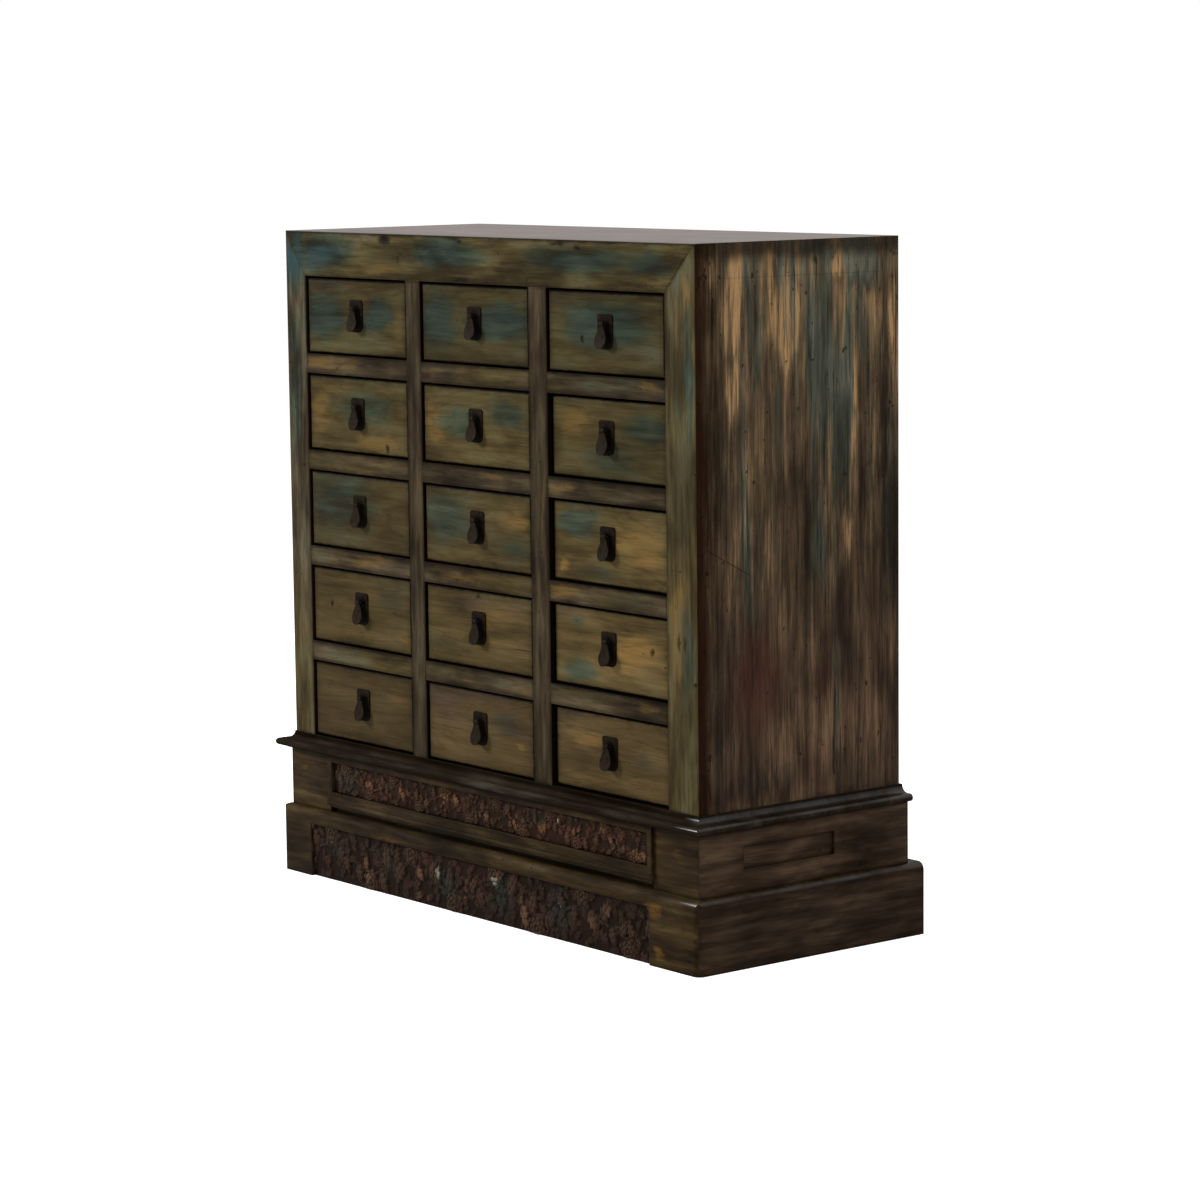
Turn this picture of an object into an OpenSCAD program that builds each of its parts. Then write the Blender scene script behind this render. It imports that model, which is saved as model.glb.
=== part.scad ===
// Old pharmacy chest: fifteen small drawers in a mitred face frame, on a low waisted stand.
// Millimetres. The front faces -Y, the floor is z = 0 and the origin is the middle of the footprint.

/* [Case] */
// Width of the case over its two side faces
case_w = 1050; // [950:10:1200]
// Depth of the case from the face frame to the back boards
case_d = 400; // [360:5:460]
// Height of one drawer opening
opening_h = 127; // [116:1:145]

/* [Face frame] */
// Width of the left front post, hand cut and narrower than the right one
stile_left_w = 57; // [52:1:75]
// Width of the right front post
stile_right_w = 69; // [52:1:80]
// Width of the upright between the left and middle drawers
divider_left_w = 38; // [36:1:50]
// Width of the upright between the middle and right drawers
divider_right_w = 44; // [36:1:50]
// Depth of the front posts and of the top rail, front to back
stile_d = 40; // [36:1:50]
// Depth of the short rails and uprights, front to back
rail_d = 30; // [26:1:34]
// Height of the short rails between two drawers
row_rail_h = 32; // [28:1:40]
// Height of the mitred top rail
top_rail_h = 73; // [64:1:90]
// Radius of the worn outer edges of the frame
frame_edge_r = 3; // [1:0.5:6]
// Thickness of every tenon
tenon_t = 10; // [6:1:12]
// Length of every tenon
tenon_l = 14; // [8:1:16]

/* [Sides, top, back and bottom] */
// Depth of the rear posts, front to back
rear_post_d = 36; // [30:1:44]
// Width of the rear posts
rear_post_w = 45; // [40:1:60]
// Height of the side and rear top rails
upper_rail_h = 52; // [46:1:60]
// Thickness of the side and rear top rails
upper_rail_t = 30; // [26:1:36]
// Thickness of the upright boards in the sides
side_board_t = 14; // [12:1:18]
// Thickness of the boards in the top
top_board_t = 14; // [12:1:18]
// Thickness of the boards in the back
back_board_t = 12; // [10:1:16]
// Thickness of the boards in the bottom
bottom_board_t = 10; // [8:1:12]
// Thickness of the tongues on all these boards
tongue_t = 5; // [3:1:6]
// Length of the tongues on all these boards
tongue_l = 8; // [5:1:10]
// Height of the two battens under the top
batten_h = 20; // [16:1:26]
// Width of the two battens under the top
batten_w = 34; // [28:1:44]

/* [Drawer guides] */
// Thickness of the partitions between the drawer columns
partition_t = 14; // [10:1:20]
// Height of the runner strip under a drawer side
runner_h = 14; // [10:1:20]
// How far a runner reaches under the drawer
runner_lip = 16; // [12:1:24]
// How far the guide strip stands beside the drawer
guide_h = 30; // [15:1:60]

/* [Drawers] */
// Thickness of the drawer fronts
front_t = 22; // [18:1:26]
// Radius of the worn edges round a drawer front
front_edge_r = 5; // [1:0.5:6]
// Thickness of the drawer sides
side_t = 10; // [8:1:12]
// Height of the drawer sides
side_h = 110; // [96:1:112]
// Thickness of the drawer back
back_t = 10; // [8:1:12]
// How far the drawer back stands in from the ends of the sides
back_inset = 8; // [4:1:16]
// How far the drawer back is lower than the sides
back_drop = 5; // [2:1:12]
// Thickness of the drawer bottom
bottom_t = 6; // [4:1:8]
// Height of the drawer bottom over the lower edges of the sides
bottom_up = 8; // [6:1:12]
// Depth of the grooves and housings in the drawer boards
groove_d = 4; // [3:0.5:6]
// Wood left in front of the half-blind dovetails
lap_t = 7; // [5:1:9]
// Gap between a drawer front and the frame at each side
side_gap = 1.8; // [1:0.2:3]
// Gap over a drawer front
top_gap = 2.6; // [1.5:0.1:4]
// Gap under a drawer front
front_lift = 1.6; // [0.8:0.1:3]
// Running gap between a drawer side and its runner
run_gap = 0.3; // [0.3:0.1:0.8]
// How far a drawer front stands behind the face frame
set_back = 2.5; // [0.5:0.5:5]
// The same for the lower drawers of the right column, pushed home against the back
deep_set_back = 7; // [5:0.5:12]

/* [Iron pulls] */
// Width of the back plate
plate_w = 35; // [32:1:60]
// Height of the back plate
plate_h = 52; // [48:1:70]
// Radius of the upper corners of the back plate
plate_top_r = 4; // [1:0.5:12]
// Radius of the lower corners of the back plate
plate_low_r = 11; // [2:1:15]
// Thickness of the back plate
plate_t = 1.6; // [1:0.1:2.5]
// Height of the pull over the middle of its drawer opening
pull_up = 2; // [-10:1:10]
// How far the plates of the lower right drawers sit left of the middle
deep_aside = 5; // [0:1:10]
// Height of the staple over the middle of the plate
staple_up = 12; // [8:1:16]
// Radius of the staple wire
staple_r = 1.6; // [1.2:0.1:2]
// Distance between the two legs of the staple
staple_w = 15; // [14:1:20]
// Distance from the plate to the middle of the staple's cross bar
stand_off = 6; // [5.5:0.5:9]
// Length of the staple ends clinched inside the drawer
clinch_l = 11; // [6:1:16]
// Length of the pendant below the cross bar
pendant_l = 37; // [30:1:44]
// Width of the pendant at the eye
pendant_top_w = 7; // [5:1:10]
// Width of the pendant over its round lower end
pendant_low_w = 26; // [20:1:30]
// Thickness of the pendant
pendant_t = 2.6; // [2:0.2:4]
// Radius of the curve that carries the pendant's lower end outwards
pendant_bend_r = 120; // [90:5:200]
// Radial clearance between the cross bar and the eye of the pendant
eye_clear = 0.08; // [0.02:0.02:0.1]
// Thickness of the iron round the bore of the eye
eye_wall = 1.9; // [1.4:0.1:2.4]

/* [Ledge] */
// Height of the ledge frame that carries the case
ledge_h = 28; // [26:1:36]
// How far the nose of the ledge stands out from the case
ledge_out = 25; // [22:1:32]
// How far the ledge frame reaches in under the case
ledge_in = 45; // [42:1:60]
// Radius of the rounded nose
nose_r = 6; // [4:0.5:7]
// How far the ledge stands over the waist under its nose
quirk_out = 10; // [8:1:12]
// Height of the quirk under the nose
quirk_h = 3.5; // [2:0.5:5]
// How far the ledge stands out behind the case
ledge_back_out = 6; // [2:1:10]

/* [Waist] */
// Height of the waist between plinth and ledge
waist_h = 95; // [85:1:115]
// How far the waist stands out from the case at the front and sides
waist_out = 5; // [2:1:7]
// How far the waist stands out behind the case
waist_back_out = 14; // [8:1:20]
// Thickness of the waist boards
waist_t = 20; // [16:1:24]
// Width of the left corner block of the waist
block_left_w = 112; // [90:1:130]
// Width of the right corner block of the waist
block_right_w = 104; // [90:1:130]
// How far the moulded frame of the frieze stands out from the corner blocks
bead_out = 5; // [3:1:6]
// Width of the upright and upper strips of that frame
bead_w = 10; // [7:1:14]
// Height of the lower strip of that frame
sill_h = 24; // [18:1:30]
// Height of the shadow gap under the lower strip
sill_gap = 10; // [6:1:14]
// Radius of the bead along the lower strip
sill_bead_r = 4; // [2:0.5:5]
// Thickness of the board behind the frieze
backing_t = 8; // [6:1:10]
// Length of the sunk panel in each side of the waist
sunk_l = 180; // [120:5:240]
// Height of the sunk panel in each side of the waist
sunk_h = 36; // [24:1:50]
// Distance from the case front to the sunk panel
sunk_from_front = 82; // [60:2:110]
// Depth of the sunk panel
sunk_d = 6; // [3:1:9]

/* [Plinth] */
// Height of the plinth
plinth_h = 113; // [100:1:130]
// How far the plinth stands out from the case at the front and sides
plinth_out = 18; // [15:1:20]
// How far the plinth stands out behind the case
plinth_back_out = 35; // [28:1:45]
// Height of the mitred frame on top of the plinth
cap_h = 24; // [20:1:30]
// Depth of the members of that frame
cap_w = 50; // [44:1:64]
// Radius of the rounded shoulder and corners of the plinth
shoulder_r = 12; // [6:1:14]
// Thickness of the plinth boards and feet
plinth_t = 24; // [18:1:28]
// Width of the left foot on the front
foot_left_w = 83; // [70:1:100]
// Width of the right foot on the front
foot_right_w = 114; // [90:1:130]
// Depth of the rear feet, front to back
rear_foot_d = 38; // [30:1:50]
// Width of the rear feet
rear_foot_w = 70; // [50:1:90]
// Size of the glue blocks inside the front corners
glue_block = 30; // [20:1:40]

/* [Carving] */
// Depth of the carved ground behind the faces round it
carve_sink = 7; // [5:0.5:9]
// Height of the carved relief over its ground
relief_h = 5; // [2:0.5:5]
// Thickness of the ground of the carved boards
ground_t = 6; // [4:0.5:6]
// Number of scrolls along the frieze
frieze_scrolls = 12; // [6:2:16]
// Number of scrolls along the apron
apron_scrolls = 8; // [6:2:12]

/* [Fits] */
// Glue line left between two pieces that are joined
joint_gap = 0.15; // [0.1:0.05:0.25]

/* [Hidden] */
$fn = 48;
row_count = 5;
column_count = 3;
column_names = ["left", "middle", "right"];
row_range = [0 : row_count - 1];
column_range = [0 : column_count - 1];

// Heights, from the floor up
waist_z = plinth_h;
ledge_z = waist_z + waist_h;
case_z = ledge_z + ledge_h;
face_top_z = case_z + row_count * opening_h + (row_count - 1) * row_rail_h;
top_z = face_top_z + top_rail_h;
runner_z = case_z - runner_h;

// Depths, from the face plane back
rear_post_y = case_d - rear_post_d;
back_y = case_d - back_board_t - 2;
upper_back_y = case_d - upper_rail_t;

// Openings of the face frame
clear_w = case_w - stile_left_w - stile_right_w - divider_left_w - divider_right_w;
opening_w = clear_w / column_count;
opening_xs = [
    -case_w / 2 + stile_left_w,
    -case_w / 2 + stile_left_w + opening_w + divider_left_w,
    -case_w / 2 + stile_left_w + 2 * opening_w + divider_left_w + divider_right_w
];
divider_ws = [divider_left_w, divider_right_w];
drawer_l = back_y - deep_set_back - 0.5;

// The face plane stands this far in front of the middle of the footprint
footprint_d = ledge_out + case_d + plinth_back_out;
face_y = ledge_out - footprint_d / 2;

function opening_x(column) = opening_xs[column];
function opening_z(row) = case_z + (row_count - 1 - row) * (opening_h + row_rail_h);
function drawer_y(row, column) = column == 2 && row > 0 ? deep_set_back : set_back;
function pull_x(row, column) = opening_w / 2 - (column == 2 && row > 0 ? deep_aside : 0);
function place_name(row, column) = str("_row", row + 1, "_", column_names[column]);

CASE_NODES = [
    "front_posts", "front_top_rail", "column_uprights", "row_rails", "rear_frame",
    "side_top_rails", "side_panels", "top_panel", "back_panel", "bottom_panel",
    "drawer_guides", "ledge_frame", "waist", "carved_boards", "plinth"
];

olive_paint = [0.36, 0.33, 0.21];
drawer_paint = [0.40, 0.36, 0.22];
side_stain = [0.30, 0.23, 0.16];
ledge_stain = [0.20, 0.17, 0.12];
carved_stain = [0.29, 0.19, 0.14];
raw_wood = [0.55, 0.42, 0.28];
dark_iron = [0.17, 0.15, 0.14];

// A block between two opposite corners
module block(low, high) {
    translate(low) cube(high - low);
}

// Outlines in XZ, YZ and XY drawn out along the third direction
module along_y(from, to) {
    translate([0, to, 0]) rotate([90, 0, 0]) linear_extrude(to - from) children();
}
module along_x(from, to) {
    translate([from, 0, 0]) rotate([90, 0, 90]) linear_extrude(to - from) children();
}
module along_z(from, to) {
    translate([0, 0, from]) linear_extrude(to - from) children();
}

// Measures x inwards from the left (-1) or right (1) face of the case
module from_side(side) {
    translate([side * case_w / 2, 0, 0]) mirror([side > 0 ? 1 : 0, 0, 0]) children();
}

// A bar's section with its corner at the origin rounded off
module eased_corner(width, depth, radius) {
    translate([radius, 0]) square([width - radius, depth]);
    translate([0, radius]) square([width, depth - radius]);
    translate([radius, radius]) circle(radius);
}

// A section whose two corners on the front edge are rounded off
module eased_front(width, depth, radius) {
    translate([0, radius]) square([width, depth - radius]);
    translate([radius, 0]) square([width - 2 * radius, depth]);
    translate([radius, radius]) circle(radius);
    translate([width - radius, radius]) circle(radius);
}

// Face frame

// Tenon on the end of the top rail, inside the mitre, and the mortise for it
module top_rail_tenon(stile_w, ease) {
    block([stile_w - tenon_l - 24 - ease, stile_d / 2 - tenon_t / 2 - ease, face_top_z + 6 - ease],
          [stile_w + 2, stile_d / 2 + tenon_t / 2 + ease, face_top_z + 24 + ease]);
}

// Tenon under a front post or upright, and the mortise for it in the ledge
module foot_tenon(x, width, ease) {
    block([x - ease, rail_d / 2 - tenon_t / 2 - ease, case_z - tenon_l - ease],
          [x + width + ease, rail_d / 2 + tenon_t / 2 + ease, case_z + 2]);
}

module row_rail_tenons(row, column, ease) {
    z = opening_z(row) - row_rail_h;
    block([opening_x(column) - tenon_l - ease, rail_d / 2 - tenon_t / 2 - ease, z + 5 - ease],
          [opening_x(column) + opening_w + tenon_l + ease, rail_d / 2 + tenon_t / 2 + ease,
           z + row_rail_h - 5 + ease]);
}

module all_row_rail_tenons(ease) {
    for (row = [0 : row_count - 2], column = column_range) row_rail_tenons(row, column, ease);
}

// Tongue of the side boards and tenons of the side rail, as cutters for the posts
module side_joinery(from_y, to_y, ease) {
    tongue_x = side_board_t / 2 - tongue_t / 2;
    block([tongue_x - ease, from_y - ease, case_z - tongue_l - ease],
          [tongue_x + tongue_t + ease, to_y + ease, top_z - upper_rail_h + tongue_l + ease]);
    block([upper_rail_t / 2 - tenon_t / 2 - ease, from_y + tongue_l - tenon_l - ease,
           top_z - upper_rail_h + 14 - ease],
          [upper_rail_t / 2 + tenon_t / 2 + ease, to_y - tongue_l + tenon_l + ease, top_z - 16 + ease]);
}

module front_post(side, stile_w) {
    from_side(side) difference() {
        union() {
            intersection() {
                along_y(0, stile_d)
                    polygon([[0, case_z], [stile_w - joint_gap, case_z],
                             [stile_w - joint_gap, face_top_z - joint_gap],
                             [0, top_z - joint_gap]]);
                along_z(case_z, top_z) eased_corner(stile_w, stile_d, frame_edge_r);
            }
            foot_tenon(12, 30, 0);
        }
        top_rail_tenon(stile_w, joint_gap);
        side_joinery(stile_d - tongue_l, rear_post_y + tongue_l, joint_gap);
        mirror([side > 0 ? 1 : 0, 0, 0]) translate([-side * case_w / 2, 0, 0])
            all_row_rail_tenons(joint_gap);
    }
}

module front_posts() {
    color(olive_paint) {
        front_post(-1, stile_left_w);
        front_post(1, stile_right_w);
    }
}

module front_top_rail() {
    color(olive_paint) difference() {
        union() {
            intersection() {
                along_y(0, stile_d)
                    polygon([[-case_w / 2, top_z], [-case_w / 2 + stile_left_w, face_top_z],
                             [case_w / 2 - stile_right_w, face_top_z], [case_w / 2, top_z]]);
                along_x(-case_w / 2, case_w / 2)
                    translate([0, top_z]) mirror([0, 1]) eased_corner(stile_d, top_rail_h, frame_edge_r);
            }
            from_side(-1) top_rail_tenon(stile_left_w, 0);
            from_side(1) top_rail_tenon(stile_right_w, 0);
        }
        for (side = [-1, 1]) from_side(side)
            side_joinery(stile_d - tongue_l, rear_post_y + tongue_l, joint_gap);
        upright_tenons(joint_gap);
        top_tongue(joint_gap);
        batten_tenons(joint_gap);
    }
}

// Head tenons of the uprights
module upright_tenons(ease) {
    for (column = [0 : 1]) {
        x = opening_x(column) + opening_w;
        block([x + 6 - ease, rail_d / 2 - tenon_t / 2 - ease, face_top_z - 2],
              [x + divider_ws[column] - 6 + ease, rail_d / 2 + tenon_t / 2 + ease,
               face_top_z + tenon_l + ease]);
    }
}

module upright_foot_tenons(ease) {
    for (column = [0 : 1])
        foot_tenon(opening_x(column) + opening_w + 6, divider_ws[column] - 12, ease);
}

module column_uprights() {
    color(olive_paint) difference() {
        union() {
            for (column = [0 : 1]) {
                x = opening_x(column) + opening_w;
                block([x + joint_gap, 0, case_z],
                      [x + divider_ws[column] - joint_gap, rail_d, face_top_z - joint_gap]);
            }
            upright_tenons(0);
            upright_foot_tenons(0);
        }
        all_row_rail_tenons(joint_gap);
    }
}

module row_rails() {
    color(olive_paint) for (row = [0 : row_count - 2], column = column_range) {
        z = opening_z(row) - row_rail_h;
        block([opening_x(column), 0, z], [opening_x(column) + opening_w, rail_d, z + row_rail_h]);
        row_rail_tenons(row, column, 0);
    }
}

// Sides, top, back and bottom

module rear_post(side) {
    from_side(side) difference() {
        block([0, rear_post_y, case_z], [rear_post_w, case_d, top_z]);
        side_joinery(stile_d - tongue_l, rear_post_y + tongue_l, joint_gap);
        block([rear_post_w - tongue_l - joint_gap, back_y - joint_gap, case_z - 1],
              [rear_post_w + 1, back_y + back_board_t + joint_gap, top_z - upper_rail_h + tongue_l]);
        rear_rail_tenon(joint_gap);
    }
}

// Tenon of the rear top rail, measured from the side of the case
module rear_rail_tenon(ease) {
    block([rear_post_w - tenon_l - ease, upper_back_y + 6 - ease, top_z - upper_rail_h + 16 - ease],
          [rear_post_w + 2, upper_back_y + 6 + tenon_t + ease, top_z - 18 + ease]);
}

// The room that the rear posts take up
module rear_post_space() {
    for (side = [-1, 1]) from_side(side)
        block([-1, rear_post_y - joint_gap, ledge_z], [rear_post_w + joint_gap, case_d + 1, top_z + 1]);
}

module rear_frame() {
    color(side_stain) {
        for (side = [-1, 1]) rear_post(side);
        difference() {
            union() {
                block([-case_w / 2 + rear_post_w + joint_gap, upper_back_y, top_z - upper_rail_h],
                      [case_w / 2 - rear_post_w - joint_gap, case_d, top_z]);
                for (side = [-1, 1]) from_side(side) rear_rail_tenon(0);
            }
            back_tongue(joint_gap);
            top_tongue(joint_gap);
            batten_tenons(joint_gap);
        }
    }
}

module side_top_rails() {
    color(side_stain) for (side = [-1, 1]) from_side(side) difference() {
        union() {
            block([0, stile_d + joint_gap, top_z - upper_rail_h],
                  [upper_rail_t, rear_post_y - joint_gap, top_z]);
            block([upper_rail_t / 2 - tenon_t / 2, stile_d - tenon_l, top_z - upper_rail_h + 14],
                  [upper_rail_t / 2 + tenon_t / 2, rear_post_y + tenon_l, top_z - 16]);
        }
        side_tongue(joint_gap);
        translate([case_w / 2, 0, 0]) top_tongue(joint_gap);
    }
}

// The tongue round the side boards, measured from the side of the case
module side_tongue(ease) {
    tongue_x = side_board_t / 2 - tongue_t / 2;
    block([tongue_x - ease, stile_d - tongue_l - ease, case_z - tongue_l - ease],
          [tongue_x + tongue_t + ease, rear_post_y + tongue_l + ease,
           top_z - upper_rail_h + tongue_l + ease]);
}

module side_panels() {
    board_count = 3;
    board_l = (rear_post_y - stile_d) / board_count;
    color(side_stain) for (side = [-1, 1]) from_side(side) intersection() {
        union() {
            block([0, stile_d + joint_gap, case_z + joint_gap],
                  [side_board_t, rear_post_y - joint_gap, top_z - upper_rail_h - joint_gap]);
            side_tongue(-joint_gap);
        }
        for (i = [0 : board_count - 1]) {
            first = i == 0 ? -tongue_l : joint_gap;
            last = i == board_count - 1 ? tongue_l : -joint_gap;
            block([-1, stile_d + i * board_l + first, ledge_z],
                  [side_board_t + 1, stile_d + (i + 1) * board_l + last, top_z]);
        }
    }
}

// The tongue round the top boards
module top_tongue(ease) {
    block([-case_w / 2 + upper_rail_t - tongue_l - ease, stile_d - tongue_l - ease,
           top_z - top_board_t - ease],
          [case_w / 2 - upper_rail_t + tongue_l + ease, upper_back_y + tongue_l + ease,
           top_z - top_board_t + tongue_t + ease]);
}

// The battens, tenoned into the top rail and the rear rail
module batten_tenons(ease) {
    for (column = [0 : 1])
        block([partition_x(column) - batten_w / 2 + 6 - ease, stile_d - tenon_l - ease,
               top_z - top_board_t - batten_h + 4 - ease],
              [partition_x(column) + batten_w / 2 - 6 + ease, upper_back_y + tenon_l + ease,
               top_z - top_board_t - 4 + ease]);
}

module top_panel() {
    board_count = 3;
    board_l = (upper_back_y - stile_d) / board_count;
    color(side_stain) {
        difference() {
            intersection() {
                union() {
                    block([-case_w / 2 + upper_rail_t + joint_gap, stile_d + joint_gap,
                           top_z - top_board_t],
                          [case_w / 2 - upper_rail_t - joint_gap, upper_back_y - joint_gap, top_z]);
                    top_tongue(-joint_gap);
                }
                for (i = [0 : board_count - 1]) {
                    first = i == 0 ? -tongue_l : joint_gap;
                    last = i == board_count - 1 ? tongue_l : -joint_gap;
                    block([-case_w / 2, stile_d + i * board_l + first, face_top_z],
                          [case_w / 2, stile_d + (i + 1) * board_l + last, top_z]);
                }
            }
            rear_post_space();
        }
        for (column = [0 : 1])
            block([partition_x(column) - batten_w / 2, stile_d + joint_gap,
                   top_z - top_board_t - batten_h],
                  [partition_x(column) + batten_w / 2, upper_back_y - joint_gap,
                   top_z - top_board_t - joint_gap]);
        batten_tenons(0);
    }
}

// The tongue round the back boards
module back_tongue(ease) {
    block([-case_w / 2 + rear_post_w - tongue_l - ease, back_y - ease, case_z - tongue_l - ease],
          [case_w / 2 - rear_post_w + tongue_l + ease, back_y + back_board_t + ease,
           top_z - upper_rail_h + tongue_l + ease]);
}

module back_panel() {
    board_count = 6;
    start_x = -case_w / 2 + rear_post_w;
    board_w = (case_w - 2 * rear_post_w) / board_count;
    color(raw_wood) intersection() {
        back_tongue(-joint_gap);
        for (i = [0 : board_count - 1]) {
            first = i == 0 ? -tongue_l : joint_gap;
            last = i == board_count - 1 ? tongue_l : -joint_gap;
            block([start_x + i * board_w + first, rear_post_y, ledge_z],
                  [start_x + (i + 1) * board_w + last, case_d, top_z]);
        }
    }
}

// The bottom boards with the tongue that sits in the ledge frame
module bottom_board_space(ease) {
    block([-case_w / 2 + ledge_in - tongue_l - ease, ledge_in - tongue_l - ease,
           runner_z - bottom_board_t - ease],
          [case_w / 2 - ledge_in + tongue_l + ease, case_d - ledge_in + tongue_l + ease,
           runner_z + ease]);
}

module bottom_panel() {
    board_count = 3;
    start_y = ledge_in;
    board_l = (case_d - 2 * ledge_in) / board_count;
    color(raw_wood) intersection() {
        bottom_board_space(-joint_gap);
        for (i = [0 : board_count - 1]) {
            first = i == 0 ? -tongue_l : joint_gap;
            last = i == board_count - 1 ? tongue_l : -joint_gap;
            block([-case_w / 2, start_y + i * board_l + first, ledge_z],
                  [case_w / 2, start_y + (i + 1) * board_l + last, case_z]);
        }
    }
}

// Drawer guides

function partition_x(column) = opening_x(column) + opening_w + divider_ws[column] / 2;

// A runner and the guide strip on it: x counts from the edge of the opening towards the drawer
module runner(row, guide_w, to_y) {
    z = opening_z(row);
    block([-guide_w, rail_d + joint_gap, z - runner_h], [runner_lip, to_y, z]);
    block([-guide_w, rail_d + joint_gap, z + joint_gap], [0, to_y, z + guide_h]);
}

// The strips over the top drawers that keep them from tipping
module kicker(guide_w, to_y) {
    block([-guide_w, rail_d + joint_gap, face_top_z], [runner_lip, to_y, face_top_z + runner_h]);
}

module drawer_guides() {
    end_y = back_y - 2 * joint_gap;
    color(raw_wood) difference() {
        union() {
            for (column = [0 : 1])
                block([partition_x(column) - partition_t / 2, rail_d + joint_gap, runner_z + joint_gap],
                      [partition_x(column) + partition_t / 2, end_y,
                       top_z - top_board_t - batten_h - joint_gap]);
            for (column = column_range) {
                left_w = column == 0 ? outer_guide_w(stile_left_w) : inner_guide_w(column - 1);
                right_w = column == 2 ? outer_guide_w(stile_right_w) : inner_guide_w(column);
                translate([opening_x(column), 0, 0]) guide_side(left_w, end_y);
                translate([opening_x(column) + opening_w, 0, 0]) mirror([1, 0, 0])
                    guide_side(right_w, end_y);
            }
        }
        frame_space();
    }
}

// Width of a guide strip between the drawers and the side boards, and beside a partition
function outer_guide_w(stile_w) = stile_w - side_board_t - 3;
function inner_guide_w(column) = divider_ws[column] / 2 - partition_t / 2 - joint_gap;

// All the runners down one side of a drawer column
module guide_side(guide_w, to_y) {
    for (row = row_range) runner(row, guide_w, to_y);
    kicker(guide_w, to_y);
}

// The room that the posts, the top rail and the rear rail take up, for the guides to stop at
module frame_space() {
    block([-case_w, -1, face_top_z - joint_gap], [case_w, stile_d + joint_gap, top_z]);
    from_side(-1) block([-1, -1, ledge_z], [stile_left_w, stile_d + joint_gap, top_z]);
    from_side(1) block([-1, -1, ledge_z], [stile_right_w, stile_d + joint_gap, top_z]);
    block([-case_w, upper_back_y - joint_gap, top_z - upper_rail_h - joint_gap],
          [case_w, case_d, top_z]);
    rear_post_space();
}

// Ledge

// Section of the ledge: u counts out from the face of the case, v is height
module ledge_section() {
    cove_r = ledge_h - quirk_h - 2 * nose_r;
    nose_z = ledge_z + quirk_h + nose_r;
    difference() {
        union() {
            translate([-ledge_in, ledge_z]) square([ledge_in + quirk_out, ledge_h]);
            translate([-ledge_in, ledge_z + quirk_h])
                square([ledge_in + ledge_out - nose_r, ledge_h - quirk_h]);
            translate([ledge_out - nose_r, nose_z]) circle(nose_r);
        }
        translate([1 + cove_r, case_z]) circle(cove_r);
        translate([1 + cove_r, nose_z + nose_r]) square([ledge_out, ledge_h]);
    }
}

module ledge_frame() {
    half_w = case_w / 2;
    back_end = case_d + ledge_back_out;
    color(ledge_stain) difference() {
        union() {
            intersection() {
                along_x(-half_w - ledge_out, half_w + ledge_out) mirror([1, 0]) ledge_section();
                along_z(ledge_z, case_z)
                    polygon([[-half_w - ledge_out + joint_gap, -ledge_out],
                             [half_w + ledge_out - joint_gap, -ledge_out],
                             [half_w - ledge_in - joint_gap, ledge_in],
                             [-half_w + ledge_in + joint_gap, ledge_in]]);
            }
            for (side = [-1, 1]) from_side(side) intersection() {
                along_y(-ledge_out, back_end) mirror([1, 0]) ledge_section();
                along_z(ledge_z, case_z)
                    polygon([[-ledge_out, -ledge_out + joint_gap], [ledge_in, ledge_in + joint_gap],
                             [ledge_in, back_end], [-ledge_out, back_end]]);
            }
            block([-half_w + ledge_in + joint_gap, case_d - ledge_in, ledge_z],
                  [half_w - ledge_in - joint_gap, back_end, case_z]);
        }
        bottom_board_space(joint_gap);
        upright_foot_tenons(joint_gap);
        for (side = [-1, 1]) from_side(side) {
            foot_tenon(12, 30, joint_gap);
            side_tongue(joint_gap);
        }
        back_tongue(joint_gap);
        runner_space();
    }
}

// Room for the lowest runners where they lie over the ledge frame
module runner_space() {
    block([-case_w / 2 + side_board_t + 2, rail_d - joint_gap, runner_z - joint_gap],
          [case_w / 2 - side_board_t - 2, back_y, case_z + 1]);
}

// Waist

module waist() {
    half_w = case_w / 2;
    left_x = -half_w - waist_out;
    right_x = half_w + waist_out;
    frieze_left = left_x + block_left_w;
    frieze_right = right_x - block_right_w;
    back_end = case_d + waist_back_out;
    top = ledge_z - joint_gap;
    front_face = -waist_out;
    backing_y = front_face + backing_t;
    sill_z = waist_z + sill_gap;
    color(olive_paint) {
        block([left_x, front_face, waist_z], [frieze_left, front_face + waist_t, top]);
        block([frieze_right, front_face, waist_z], [right_x, front_face + waist_t, top]);
        block([frieze_left + joint_gap, backing_y, waist_z],
              [frieze_right - joint_gap, front_face + waist_t, top]);
        for (side = [-1, 1]) from_side(side) difference() {
            block([-waist_out, front_face + waist_t + joint_gap, waist_z],
                  [waist_t - waist_out, back_end, top]);
            block([-waist_out - 1, sunk_from_front, waist_z + waist_h / 2 + 4 - sunk_h / 2],
                  [sunk_d - waist_out, sunk_from_front + sunk_l, waist_z + waist_h / 2 + 4 + sunk_h / 2]);
        }
        block([left_x + waist_t + joint_gap, back_end - waist_t, waist_z],
              [right_x - waist_t - joint_gap, back_end, top]);
        // Moulded frame round the frieze
        along_x(frieze_left + joint_gap, frieze_right - joint_gap) {
            translate([front_face - bead_out, sill_z])
                square([bead_out + backing_t - joint_gap, sill_h]);
            translate([front_face - bead_out, sill_z + sill_bead_r + 3]) circle(sill_bead_r);
        }
        block([frieze_left + joint_gap, front_face - bead_out, top - bead_w],
              [frieze_right - joint_gap, backing_y - joint_gap, top]);
        for (x = [frieze_left + joint_gap, frieze_right - joint_gap - bead_w])
            block([x, front_face - bead_out, sill_z + sill_h + joint_gap],
                  [x + bead_w, backing_y - joint_gap, top - bead_w - joint_gap]);
    }
}

// Carving

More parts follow.
